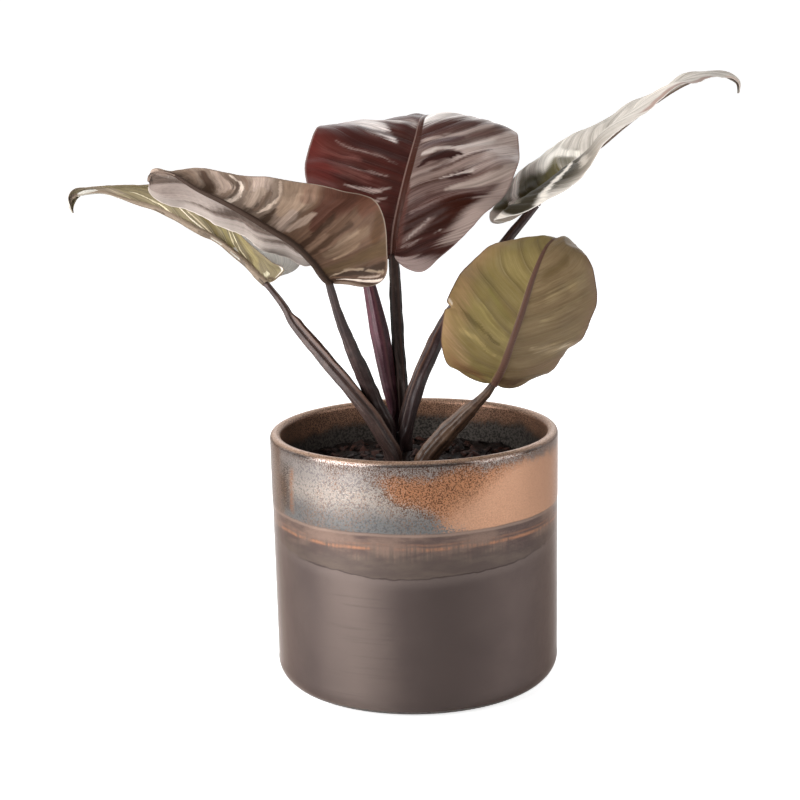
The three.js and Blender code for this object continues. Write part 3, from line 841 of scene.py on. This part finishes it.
def glaze_material():
    """Dipped glazes: a speckled bronze and blue-grey band above, satin metallic brown below."""
    g = Graph("pot_glaze")
    place = g.place()
    x, y, z = g.node("SeparateXYZ", place).outputs
    height = g.mul(z, 1 / MM)
    # The angle is 0 at the front and grows to the right; its sine has no seam at the back
    angle = g.math("ARCTAN2", x, g.mul(y, -1))
    radius = g.mul(g.math("SQRT", g.add(g.mul(x, x), g.mul(y, y))), 1 / MM)
    inside = g.math("LESS_THAN", radius, POT_FOOT_RADIUS - WALL / 2)
    specks = g.noise(place, 1700, 2, 0.6)
    coarse_specks = g.noise(place, 900, 2, 0.6)
    cloud = g.noise(place, 38, 4, 0.6)
    wide_cloud = g.noise(place, 16, 3, 0.5)
    runs = g.noise(g.vector(g.mul(x, 900), g.mul(y, 900), g.mul(height, 0.03)), 1, 3, 0.6)
    smears = g.noise(g.vector(g.mul(x, 45), g.mul(y, 45), g.mul(height, 0.16)), 1, 4, 0.6)
    throwing = g.noise(g.vector(g.mul(x, 20), g.mul(y, 20), g.mul(height, 0.9)), 1, 3, 0.65)

    def about(noise, amount):
        """How far a noise is from its middle, times amount."""
        return g.mul(g.sub(noise, 0.5), amount)

    def rough_step(value, noise, amount, low, high):
        """A step whose place a noise shifts by up to half the amount."""
        return g.step(g.add(value, about(noise, amount)), low, high)

    def dab(start, end, low, high, soft=0.03):
        """A place on the wall between two angles and two heights, with uneven edges."""
        a = g.add(angle, about(cloud, 0.12))
        h = g.add(height, about(cloud, 12))
        across = g.mul(g.step(a, start - soft, start + soft), g.inv(g.step(a, end - soft, end + soft)))
        inner = g.mul(across, g.mul(g.step(h, low - 3, low + 3), g.inv(g.step(h, high - 3, high + 3))))
        return g.mul(inner, g.step(specks, 0.38, 0.55))

    # Upper band: copper to the right, blue-grey in the middle, beige at the left, all broken by specks
    start = g.fit(height, -0.022, 2.2)
    side = g.math("SINE", g.sub(angle, start))
    copper = rough_step(side, cloud, 0.45, -0.2, 0.3)
    under_lip = g.mul(rough_step(height, cloud, 18, 112, 121), 0.6)
    copper = g.mul(copper, g.inv(under_lip))
    blend = rough_step(copper, specks, 2.2, 0.4, 0.6)
    cool = g.mix(rough_step(height, wide_cloud, 30, 94, 108), "686867", "948b84")
    cool = g.lay(cool, "77716f", rough_step(height, wide_cloud, 16, 108, 117), 0.55)
    cool = g.lay(cool, "454348", g.step(coarse_specks, 0.5, 0.6), 0.5)
    cool = g.lay(cool, "7a5338", rough_step(specks, cloud, 0.5, 0.58, 0.66), 0.5)
    smooth_from = g.fit(height, 0.022, -2.13)
    rich = rough_step(g.math("SINE", g.sub(angle, smooth_from)), cloud, 0.4, 0, 0.4)
    warm = g.mix(rich, "a57353", "b98e73")
    warm = g.lay(warm, "3d2a22", g.step(specks, 0.47, 0.58), g.fit(rich, -0.65, 0.85))
    band = g.mix(blend, cool, warm)
    bronze = rough_step(g.mul(g.math("SINE", angle), -1), cloud, 0.3, 0.83, 0.9)
    dull = g.mix(g.step(specks, 0.42, 0.58), "7a6250", "3d2e26")
    band = g.lay(band, dull, bronze, 0.85)
    band = g.lay(band, "35271f", dab(-1.15, -0.99, 93, 114, 0.05), 0.85)
    band = g.lay(band, "9b6844", dab(-1, -0.96, 93, 112, 0.03), 0.75)
    rim_zone = rough_step(height, cloud, 12, POT_HEIGHT - 9, POT_HEIGHT - 3)
    band = g.lay(band, "4a3226", g.mul(rim_zone, g.step(specks, 0.46, 0.56)), 0.85)
    lip = g.step(height, POT_HEIGHT - 1.7, POT_HEIGHT - 0.5)
    lip_color = g.lay("a18571", "503829", g.step(specks, 0.44, 0.58), 0.75)
    band = g.mix(lip, band, lip_color)

    # Where the two glazes overlap, smeared brown ends in a faint orange line with fine runs below
    dip_height = g.add(height, about(cloud, 1.6))
    dip = g.step(dip_height, DIP_LINE - 0.4, DIP_LINE + 0.4)
    body = g.mix(g.step(cloud, 0.3, 0.7), "574c49", "605450")
    body = g.lay(body, "504543", g.step(wide_cloud, 0.4, 0.7), 0.5)
    # Painted shade a little to the right of the front and a painted highlight to the left of it
    for middle, reach, strength, tint in ((0.18, 0.65, 0.6, "3a3230"), (-0.46, 0.4, 0.42, "84766f")):
        from_middle = g.abs(g.sub(g.add(angle, about(wide_cloud, 0.25)), middle))
        body = g.lay(body, tint, g.inv(g.step(from_middle, 0, reach)), strength)
    body = g.lay(body, "463d3b", g.step(throwing, 0.55, 0.75), 0.3)
    wavy = g.math("POWER", g.fit(g.math("COSINE", angle), 0.5, 0.5), 2.6)
    wavy = g.fit(wavy, -9.5, 78)
    wavy = g.add(wavy, g.add(about(cloud, 5), about(g.noise(place, 160, 2), 1.6)))
    below = g.sub(wavy, height)
    between = g.inv(g.step(below, -0.6, 0.2))
    film = g.mix(g.step(smears, 0.35, 0.65), "63574f", "524743")
    body = g.lay(body, film, between, 0.75)
    fade = rough_step(height, runs, 16, ORANGE_LINE - 6.5, ORANGE_LINE + 1.5)
    overlap = g.mix(g.step(smears, 0.35, 0.65), "806a5f", "594a46")
    overlap = g.lay(overlap, "4b3c38", g.step(specks, 0.55, 0.65), 0.3)
    body = g.lay(body, overlap, fade, 0.8)
    body = g.lay(body, "453839", dab(0.6, 0.92, 74, 88, 0.06), 0.45)
    line_height = g.add(height, about(cloud, 3))
    for middle, reach, strength in ((ORANGE_LINE, 1.3, 0.75), (ORANGE_LINE + 2.1, 0.8, 0.3)):
        away = g.abs(g.sub(line_height, middle))
        line = g.mul(g.inv(g.step(away, 0.1, reach)), rough_step(smears, runs, 0.5, 0.38, 0.62))
        body = g.lay(body, "a5765b", line, strength)
    # Painted highlight: a thin light line just below the dip edge
    edge = g.inv(g.step(g.abs(g.sub(dip_height, DIP_LINE - 0.9)), 0.2, 1.1))
    body = g.lay(body, "937e72", edge, 0.6)
    trace = g.inv(g.step(g.abs(below), 0.05, 0.5))
    body = g.lay(body, "2f2725", trace, g.mul(g.step(smears, 0.3, 0.6), 0.75))
    lit = g.mul(g.step(below, 0, 0.7), g.inv(g.step(below, 0.7, 6)))
    body = g.lay(body, "796d68", lit, 0.3)
    outer = g.mix(dip, body, band)
    foot = g.inv(g.step(height, 0.4, 2.4))
    outer = g.lay(outer, "2e2724", foot, 0.7)

    # Inside: bronze specks near the lip, running down to dark grey
    depth = rough_step(height, cloud, 16, POT_HEIGHT - 19, POT_HEIGHT - 3)
    wall = g.mix(g.step(coarse_specks, 0.42, 0.6), "55504b", "2b2826")
    rusty = g.mix(g.step(specks, 0.42, 0.58), "94705a", "4b372c")
    wall = g.mix(rough_step(depth, specks, 1.6, 0.35, 0.65), wall, rusty)
    wall = g.mix(lip, wall, lip_color)
    color = g.mix(inside, outer, wall)
    shine = g.fit(dip, 0.02, 0.17)
    shine = g.fit(lip, 0.14, shine)
    shine = g.fit(inside, 0.14, shine)
    shine = g.add(shine, g.add(about(specks, 0.2), about(cloud, 0.12)))
    relief = g.mul(about(specks, 0.3), g.math("MAXIMUM", dip, inside))
    relief = g.add(relief, g.mul(g.step(below, -0.2, 0.2), -0.3))
    relief = g.add(relief, g.mul(g.noise(place, 90, 2), 0.8))
    relief = g.add(relief, about(throwing, 0.25))
    metal = g.fit(g.math("MAXIMUM", inside, lip), -0.45, 0.8)
    return g.finish(color, shine, g.bump(relief, 0.5, 0.35 * MM), metallic=metal, specular_ior_level=0.5,
                    specular_tint=(0.72, 0.62, 0.57))


# Build

FACE_COLORS = ("base", "second", "third", "vein", "crease_shade", "rib", "edge")

# Strokes painted on the faces of the blades, each over the ones before it: the leaves' own markings together with
# painted highlights, painted reflections and painted shade. A line holds the stroke's points as share of the half
# width, v and half width in millimetres, then its colour, strength and softness.
MARKS_AND_PAINTED_LIGHT = {
    ("leaf_left", "lower"): """
    -.9 .62 5, -.4 .72 6, -.1 .82 4: 87796a .7 .5
    -.9 .33 5, -.5 .33 3, -.2 .33 1.5: 695a36 .7 .6
    -.95 .03 4, -.5 .07 3, -.1 .1 2: 8f8259 .7 .6
    -.9 .24 3, -.1 .24 3: 857a4e .7 .6
    -.9 .09 1.2, -.5 .11 1, -.1 .12 .8: 6b5c3a .7 .6
    -.9 .48 1.6, -.5 .48 1.6, -.1 .45 .8: 66583a .6 .6
    -.85 .13 .5, -.4 .165 .7, -.02 .155 .9: ddd0ae .97 .4
    -.85 .17 .4, -.4 .2 .6, -.02 .19 .7: cfc19c .95 .4
    -.6 .3 .6, -.3 .28 .5, -.02 .25 .6: a3966c .8 .5
    -.4 .47 .6, -.2 .44 .8, -.02 .37 1.1: d8ccb6 .97 .4
    -.4 .42 .8, -.2 .39 1.2, -.02 .34 1.4: c3b398 .85 .5
    -.5 .6 .5, -.2 .6 .6, -.02 .55 .9: d0c3a4 .95 .4
    -.6 .7 .6, -.3 .72 .7, -.02 .7 .8: b3a68c .7 .5
    -.2 .03 1.5, -.35 .0 1: c5bda2 .8 .6
    -1 -.16 1.2, -.7 -.13 .9: e3dacd .9 .4
    -1 -.2 1.2, -.75 -.17 1.2, -.45 -.07 1.1, -.25 -.01 .7: 4a3b2c .9 .5
    -1 .68 1, -.5 .8 1.2, -.1 .9 1.6: 6a5a50 .8 .5
    -.9 .76 3, -.2 .9 3, .2 .93 3: 6d5c53 .8 .5
    """,
    # Upper face of leaf_left: the pale silver patch by the margin is a painted reflection
    ("leaf_left", "upper"): """
    1 .35 14, .8 -.25 30: d6d1c8 .95 .3
    .85 -.3 2.5, .95 .0 1.5: 958f85 .5 .6
    """,
    # Underside of leaf_front_left: painted shade in the deep folds, painted glints on the rolled rim at the base and
    # painted highlight streaks on the right half, among the leaf's own brown markings
    ("leaf_front_left", "lower"): """
    -1 .2 25, -.5 .19 26, -.1 .18 27: 553f31 .95 .2
    -.9 .86 4, -.1 .87 4: a08d80 .95 .4
    -.9 .79 1, -.1 .8 1: 9c897b .9 .5
    -.9 .75 4, -.1 .75 4: 6d5b4e .9 .4
    -.9 .69 1, -.65 .69 2, -.45 .69 1.6, -.08 .68 2.4: 44342a .95 .5
    -.95 .65 1.5, -.6 .64 3, -.2 .635 2.5: 9f8c7f .95 .4
    -.5 .62 1, -.12 .63 2: 715e51 .8 .5
    -.95 .605 .5, -.6 .588 .7, -.2 .59 1, -.07 .6 1.2: c6b5a7 .9 .5
    -.95 .578 .7, -.6 .572 .8: 6b574a .85 .5
    -.95 .53 4, -.75 .53 3.5, -.6 .545 1.5: 9a887c .9 .5
    -.7 .52 1, -.5 .535 3, -.2 .54 2.5: 8f7d6f .95 .4
    -.7 .5 .6, -.4 .51 .7, -.15 .515 .9: 6b584b .85 .5
    -.95 .475 .6, -.6 .473 .8, -.3 .487 .8, -.1 .497 .5: bba898 .95 .4
    -.95 .43 5.5, -.5 .43 5.5, -.3 .43 4: 85705f .95 .3
    -.95 .4 2.5, -.6 .4 2: 6b5244 .8 .5
    -.35 .405 2, -.12 .4 3: 88766a .9 .5
    -.3 .465 .8, -.06 .46 2.2: 382a20 .95 .5
    -.95 .315 6, -.7 .32 6, -.45 .325 4, -.25 .31 1.5: 452a20 .98 .3
    -.95 .25 4, -.8 .25 2.5: 4f3124 .9 .5
    -.42 .348 1, -.25 .36 2.2, -.1 .368 1: 8d796b .97 .4
    -.55 .3 .8, -.05 .285 1.6: 35241a .95 .4
    -.3 .265 1, -.05 .255 1.6: 6d5647 .8 .5
    -.6 .24 1.3, -.35 .245 1, -.08 .235 1.5: 3b291d .9 .5
    -.75 .2 1.5, -.5 .205 3, -.2 .2 2.2: 675343 .95 .5
    -.65 .212 .6, -.25 .215 .7: 7b6756 .8 .6
    -.6 .178 .5, -.25 .17 .6: 786350 .75 .5
    -.3 .095 2.5, -.06 .09 3.5: 47372a .9 .5
    -.95 .2 2.5, -.85 .17 3: 46301f .9 .5
    -.95 .135 3, -.5 .135 2.4, -.1 .125 2.5: 4b3a28 .9 .4
    -.92 .083 2.2, -.3 .085 2.2: 2f2118 .95 .4
    -.95 .065 .4, -.6 .095 .4, -.35 .108 .5, -.12 .075 .4: 8f7c69 .8 .6
    -.95 .03 3.4, -.3 .03 3, -.1 .03 2: 3b2b22 .95 .4
    -.3 .035 .4, -.5 .043 .9, -.75 .03 1, -.97 .045 .6: cdbdb0 .9 .5
    -.65 .062 .5, -.9 .06 .5: 9d8b7d .8 .6
    .25 .7 30, .6 .2 34, 1 -.4 40: 705f55 .95 .3
    .3 .45 5, .55 .2 7, .7 -.02 5: 5f4e44 .8 .5
    .12 .5 3, .45 .27 4, .78 .0 3.5: c2b2a9 .9 .5
    .4 .4 4, .6 .26 5, .92 .02 5: b5a49b .85 .5
    .02 .7 1, .1 .55 1.4, .27 .3 1.4, .4 .1 1.4, .5 -.1 1.5, .65 -.32 1.5: efe4da .95 .5
    .5 -.28 2.5, .7 -.24 4.5, .9 -.14 4: c9bab1 .9 .5
    .55 -.12 3, .8 -.1 4: 8d7a71 .8 .6
    .65 -.5 3.5, .85 -.42 5, .95 -.3 4: d0c2ba .9 .5
    .7 -.38 2.5, .9 -.32 2.5: 7d6b62 .8 .6
    .96 .9 5, .97 .3 5, .97 -.6 6: cfc1b8 .85 .5
    """,
    # Upper face of leaf_back: the pale grey streaks are painted highlights on the dark maroon blade
    ("leaf_back", "upper"): """
    -.95 .4 5, -.5 .4 4.5, -.1 .4 4: 341a17 .85 .5
    -1 .3 7, -.88 .26 7: 5f2825 .7 .6
    -1 .53 9, -.7 .5 7, -.45 .48 4.5, -.2 .445 1.2: d8cdc8 .9 .6
    -.6 .45 1.2, -.1 .475 2: 45302c .8 .5
    -.5 .535 3, -.1 .55 3: b3a49d .85 .6
    -.75 .366 .3, -.5 .364 .5, -.3 .368 .7, -.12 .36 .3: 87706a .8 .9
    -.85 .33 2, -.5 .335 1.4: 6b403a .6 .9
    -.7 .285 2.4, -.4 .28 2: 6d453f .6 .9
    -.55 .295 .4, -.35 .303 .6, -.2 .312 .3: 87706a .8 .9
    -.65 .23 .3, -.45 .24 .8, -.3 .253 .9, -.14 .275 .3: a08b84 .9 .8
    -.45 .205 .3, -.3 .22 .8, -.18 .24 .3: 8d7770 .85 .8
    .05 .37 14, .5 .37 15: 6a5751 .92 .35
    .6 .33 8, .98 .3 19: b4a29a .92 .5
    .05 .22 6, .3 .225 6, .6 .215 6, .95 .2 7: 6b5650 .92 .5
    .1 .6 9, .5 .56 8, .8 .49 7, .95 .44 5: e8dfda .9 .5
    .06 .515 2, .3 .5 2, .55 .455 1.4: 4a322e .8 .6
    .06 .47 1, .25 .45 1.4, .45 .432 1.6, .7 .42 1.6: 9d8a82 .85 .6
    .1 .43 1.4, .28 .422 2.6, .42 .407 1.2: 4a3130 .9 .5
    .5 .41 1, .8 .385 1.6: 634842 .65 .8
    .1 .4 .7, .28 .393 .9, .45 .36 1.4, .7 .355 2: bfb0a8 .92 .5
    .06 .325 1.6, .3 .326 1.2: 927f77 .8 .7
    .07 .29 2.4, .35 .29 2.4, .6 .3 3: 86726a .9 .6
    .1 .354 1.2, .2 .37 2.6, .3 .356 2.2, .46 .332 .8: 2b1411 .98 .3
    .25 .314 .8, .5 .308 .9, .7 .31 .7: 4b3530 .85 .6
    .06 .268 .8, .35 .262 1: 483129 .85 .6
    .65 .27 .8, .9 .262 1: 6b524b .7 .8
    .42 .262 .5, .5 .255 1.6, .6 .246 .5: 2f1916 .95 .4
    .35 .272 .5, .5 .268 .7, .62 .256 .5: c0b1a9 .85 .5
    .06 .2 1.6, .3 .205 1.8, .5 .19 .7: 4b322d .85 .6
    .5 .21 1.5, .65 .21 3, .98 .205 4: ab998f .9 .5
    .2 .17 1, .5 .165 1.2, .8 .17 1: 77605a .8 .7
    .6 .235 .8, .85 .225 .9: 604840 .7 .8
    .1 .14 3, .3 .14 2.5: 4b312c .9 .5
    .08 .06 6, .28 .07 6: 5a3d37 .9 .5
    .35 .115 6, .55 .1 10, .85 .075 9: 34170f .98 .3
    .3 .06 2, .4 .075 3.6, .48 .1 2: 77605a .9 .7
    .34 .055 .6, .42 .08 1, .47 .11 .6: aa9890 .85 .5
    .3 .03 1.2, .5 .02 1.2: 8f7a73 .7 .8
    .66 .03 .5, .7 .034 .9: b3a199 .9 .5
    .97 .17 3, .93 .05 5, .95 -.02 5: a8948b .92 .6
    .8 .13 1.2, .95 .12 2: 9a857d .8 .7
    .3 -.045 3, .6 -.075 4.5, .9 -.14 6: a08b85 .95 .4
    -.13 .55 2, -.13 .1 3: 3a1f1b .5 .6
    .04 .3 .6, .06 .18 2.5, .1 .06 4: 5a3932 .95 .4
    -.05 .1 2, -.1 .02 4: 5a3932 .8 .5
    """,
    # Upper face of leaf_right: the silver strips are painted reflections, with a painted highlight along the ridge
    # and painted shade under it, over the leaf's own olive patch
    ("leaf_right", "upper"): """
    -.97 .5 5, -.5 .55 4, .4 .5 5, .9 .35 4: cfc6bc .6 .7
    .45 .2 5, .65 .15 6, .9 .06 6: 8d8377 .85 .5
    -1 .03 6, -.7 .05 5: aaa397 .85 .5
    -.12 .13 14, -.25 .08 19, -.4 .01 13, -.55 -.04 8, -.9 -.1 5: 463f1f .99 .4
    .12 .13 15, .25 .09 21, .4 .04 20, .55 -.02 13, .7 -.07 9, .88 -.12 6: 1f1907 .99 .4
    -1 .08 7, -.75 .1 6, -.5 .16 5: e8e2d8 .92 .5
    -.16 .26 5, -.3 .23 2: 5b574a .85 .6
    -.3 -.03 6, .0 .02 8, .3 -.03 6: 57513f .9 .6
    .0 .35 1.5, .0 .24 2: 6b6256 .7 .6
    .0 .22 2.5, .0 .04 4.5: 8d8476 .85 .6
    -.97 .19 2, -.64 .18 2, -.44 .215 2, -.12 .3 2: d8d2c8 .9 .5
    -1 -.01 2.5, -.6 -.005 2.5, -.5 -.035 2.5, -.62 -.055 1.5: eae5dc .95 .4
    -.95 -.045 2.5, -.65 -.035 1.5: 7b7166 .9 .5
    -1 .03 1, -.65 .035 1: 6b6558 .75 .7
    -1 -.19 6, -.7 -.16 5, -.4 -.115 3: c5bbb0 .9 .5
    -.8 .33 1.5, -.4 .4 1.5: 8d877d .8 .7
    -.8 .44 1.2, -.4 .48 1.2: 968f86 .7 .7
    1 -.19 5, .8 -.17 4, .5 -.125 3: cfc6bc .9 .4
    .5 -.06 1, .6 -.055 3, .7 -.06 1: 6d665a .8 .6
    .36 .2 .7, .55 .13 1, .8 -.01 1.1, 1 -.08 1.4: c9c2b8 .85 .7
    .6 .17 1, .85 .09 1.4: a89f94 .7 .7
    .97 .23 2.5, .95 .46 2.2: 8f786e .95 .4
    .97 .55 1.5, .9 .68 1.5: a58f84 .9 .4
    """,
    # Underside of leaf_front_right: the pale strokes along the left margin at v .2 to .3 are a painted gleam
    ("leaf_front_right", "lower"): """
    -.95 .2 2, -.6 .25 2.2, -.3 .29 1: 9c8869 .55 .9
    -.95 .205 .6, -.75 .23 .8: b8a78d .6 .8
    -.95 .27 2, -.6 .3 2: 816f52 .5 .9
    -.8 .52 2, -.3 .52 2: 877555 .5 .9
    -.7 .44 1.5, -.3 .41 1.5: 877555 .5 .9
    -.5 .64 2.5, -.2 .63 2.5: 57462b .6 .8
    -.6 .02 3, -.2 .06 3: 4d3727 .8 .6
    -.9 .12 4, -.5 .14 4: 735c45 .6 .7
    .95 .45 4, .8 .3 5: 917754 .6 .9
    .5 .04 5, .8 .05 5: 805c40 .7 .8
    .7 .13 4, .9 .15 4: 9c8060 .6 .9
    .99 .244 .5, .93 .25 .3: e6dccb .95 .4
    .85 .265 .6, .4 .3 .7, .15 .3 .5: 5b4d2b .75 .6
    .2 .24 .8, .5 .25 1, .75 .215 .8: a08c5b .6 .8
    .15 .34 2, .5 .35 2: 8f7f4d .6 .9
    .15 .42 1.5, .5 .44 1.5: 726838 .6 .9
    .2 .6 3, .7 .6 3: 87764a .5 .9
    """,
}


def face(colors, **more):
    """The look of one face or half: its colours in the order of FACE_COLORS, and what differs from LEAF_DEFAULTS."""
    return {**dict(zip(FACE_COLORS, colors.split())), **more}


# Seed and look of each blade
LOOKS = {
    "leaf_left": (11, dict(
        # The pale silver colours of the upper face are a painted reflection
        upper=face("b0aca4 c8c5bd 9a958c dedbd2 8a857c a59f94 6b5a50"),
        lower=face("73684d 675c45 7e7257 b5a88b 4d4333 7d6e5f 6e5a4e",
                   rough=0.5, streak=0.2, line=0.25, dip=0.5, gain=0.85),
        shine=0.12)),
    "leaf_front_left": (23, dict(
        upper=face("55483f 6b5d54 4a3d35 8d8077 3d312b 6a5a50 54463e"),
        lower=face("67564b 77675c 58483e a3917f 32261f 392c25 6f6156",
                   rough=0.5, streak=0.35, line=0.1, dip=0.6, gain=0.84),
        # The lilac-grey colours, pale crest and pale edge of this half are a painted sheen
        lower_right=face("7a6a66 857570 6b5b56 c9bdb6 5a4a43", dip=0.3, crest="b5a99f", edge="cfc3ba", gain=0.56),
        shine=0.06)),
    "leaf_back": (37, dict(
        upper=face("3f211c 351915 4a2721 6a4a42 28120f 44271f 8a7570", rough=0.35, streak=0.3, line=0.1, dip=0.5),
        upper_left=face("45201b 381a16 4f2520", rim=("562520", 0.5, 0.6), crest="795f57"),
        lower=face("6b4a44 7a5a52 5f4340 8d6f66 4b332f 4a3330 6b4a46"),
        shine=0.08)),
    "leaf_right": (41, dict(
        # The silver-grey colours of the upper face are a painted reflection
        upper=face("a69e94 bab2a9 8d867c ddd6ce 7d766c aaa197 d5cfc8",
                   rough=0.5, streak=0.5, line=0.4, dip=0.6, gain=1.2, rib_under=True),
        lower=face("8f8479 a59b90 7a6e62 c9c0b5 6a5e52 6a5a50 bfb6ab"),
        shine=0.03)),
    "leaf_front_right": (53, dict(
        upper=face("4a4434 564f3d 3e392c 736d58 363122 5a5142 5a4038", rough=0.4),
        lower=face("7b6a49 6f5d42 877550 9a8866 57462f 523a30 4c3430",
                   rough=0.45, streak=0.35, line=0.1, dip=0.35, gain=0.83),
        lower_right=face("827244 78663d 90804f", rim=("8a6c4c", 0.6, 0.6)),
        lower_left=face("735f45 68553d 7e6a4d", rim=("705644", 0.8, 0.5)),
        shine=0.15)),
}

for name, (seed, look) in LOOKS.items():
    leaf(name, seed, look)

# Seed and colours of each stalk
STALK_LOOKS = {
    "stalk_left": (61, "43332f 2f2421 261a18 6a554d 5f4437"),
    "stalk_front_left": (62, "372927 271c1b 211515 5c4843 4d3833"),
    "stalk_back": (63, "332621 261c19 201514 52423b 4a3731"),
    "stalk_right": (64, "3a2b2b 291d1d 231616 5c4642 5f3f2e"),
    "stalk_front_right": (65, "432f22 2c201a 40291b 755d4b 614531"),
}
for name, (seed, colors) in STALK_LOOKS.items():
    rod(name, STALKS[name], 170, stalk_outline(STALKS[name], seed), stalk_material(name + "_skin", colors))

rod("new_leaf_sheath", SHEATH, 150, sheath_outline,
    stalk_material("sheath_skin", "4b2530 371b21 2e161b 6f4650 5a3a3a"))
rod("stem", STEM, 90, stem_outline, stem_material())

bark_mix(soil_material())
chips(chip_material())
pot(glaze_material())


# Floor, light and camera

# The backdrop as light in front of the plant and behind it, and as the camera sees it
FRONT_LIGHT = 0.09
BACK_LIGHT = 0.95
BACKDROP = 1.1

# A floor disc in metres, just under the pot
FLOOR_RADIUS = 9
FLOOR_HEIGHT = -0.0002
FLOOR_SIDES = 96

# Softboxes: place, target and size in metres, and power in watts
BOXES = {
    "left_box": ((-0.62, -0.36, 0.4), (0, 0, 0.15), (0.65, 0.8), 13),
    "right_box": ((0.85, -0.35, 0.4), (0, 0, 0.15), (0.7, 0.8), 5.5),
    "back_box": ((0.1, 1.15, 0.8), (0, 0, 0.25), (1.5, 0.8), 6),
}

# The photo's camera: degrees, millimetres of lens and sensor, the millimetres it looks at, and its distance in metres
ELEVATION = 12.21
ROLL = -1.2
LENS = 81
SENSOR = 36
TARGET = (-6.4, 0, 137.2)
DISTANCE = 0.872


def floor():
    """A wide white disc that lights up a little for the camera, so that it meets the backdrop."""
    angles = [2 * math.pi * k / FLOOR_SIDES for k in range(FLOOR_SIDES)]
    ring = [(FLOOR_RADIUS * math.cos(a), FLOOR_RADIUS * math.sin(a), FLOOR_HEIGHT) for a in angles]
    mesh = bpy.data.meshes.new("floor")
    mesh.from_pydata(ring, [], [list(range(FLOOR_SIDES))])
    obj = linked("floor", mesh)
    g = Graph("pale_floor")
    ray = g.node("LightPath").outputs["Is Camera Ray"]
    glow = g.fit(ray, 0.62, 0.12)
    mesh.materials.append(g.finish((0.84, 0.84, 0.84), 0.6, None, emission_color=(1, 1, 1), emission_strength=glow,
                                   specular_ior_level=0.1))


def softbox(name, place, target, size, power):
    light = bpy.data.lights.new(name, "AREA")
    light.shape = "RECTANGLE"
    light.size, light.size_y = size
    light.energy = power
    obj = linked(name, light)
    obj.location = place
    obj.rotation_euler = (Vector(target) - Vector(place)).to_track_quat("-Z", "Y").to_euler()
    obj.visible_camera = False


def studio():
    """Plain white for the camera. As light, bright behind the plant and dim in front of it and overhead."""
    world = bpy.data.worlds.new("studio")
    bpy.context.scene.world = world
    world.use_nodes = True
    tree = world.node_tree
    tree.nodes.clear()
    kinds = "OutputWorld Background Background TexCoord SeparateXYZ MapRange LightPath MixShader".split()
    nodes = [tree.nodes.new("ShaderNode" + kind) for kind in kinds]
    output, plain, soft, coordinates, parts, behind, ray, pick = nodes
    for background in (plain, soft):
        background.inputs["Color"].default_value = (1, 1, 1, 1)
    plain.inputs["Strength"].default_value = BACKDROP
    behind.interpolation_type = "SMOOTHSTEP"
    for key, value in (("From Min", 0.15), ("From Max", 0.55), ("To Min", FRONT_LIGHT), ("To Max", BACK_LIGHT)):
        behind.inputs[key].default_value = value
    link = tree.links.new
    link(coordinates.outputs["Generated"], parts.inputs[0])
    link(parts.outputs["Y"], behind.inputs["Value"])
    link(behind.outputs[0], soft.inputs["Strength"])
    link(ray.outputs["Is Camera Ray"], pick.inputs[0])
    link(soft.outputs[0], pick.inputs[1])
    link(plain.outputs[0], pick.inputs[2])
    link(pick.outputs[0], output.inputs[0])


def camera():
    elevation, roll = math.radians(ELEVATION), math.radians(ROLL)
    forward = Vector((0, math.cos(elevation), -math.sin(elevation)))
    level = Vector((1, 0, 0))
    rise = level.cross(forward)
    right = level * math.cos(roll) + rise * math.sin(roll)
    up = rise * math.cos(roll) - level * math.sin(roll)
    data = bpy.data.cameras.new("camera")
    data.sensor_width = SENSOR
    data.lens = LENS
    data.clip_start = 0.05
    data.clip_end = 20
    obj = linked("camera", data)
    turn = Matrix((right, up, -forward)).transposed()
    obj.matrix_world = Matrix.Translation(Vector(TARGET) * MM - forward * DISTANCE) @ turn.to_4x4()
    bpy.context.scene.camera = obj


floor()
studio()
for name, values in BOXES.items():
    softbox(name, *values)
camera()

scene = bpy.context.scene
scene.view_settings.view_transform = "Standard"
scene.cycles.use_denoising = True
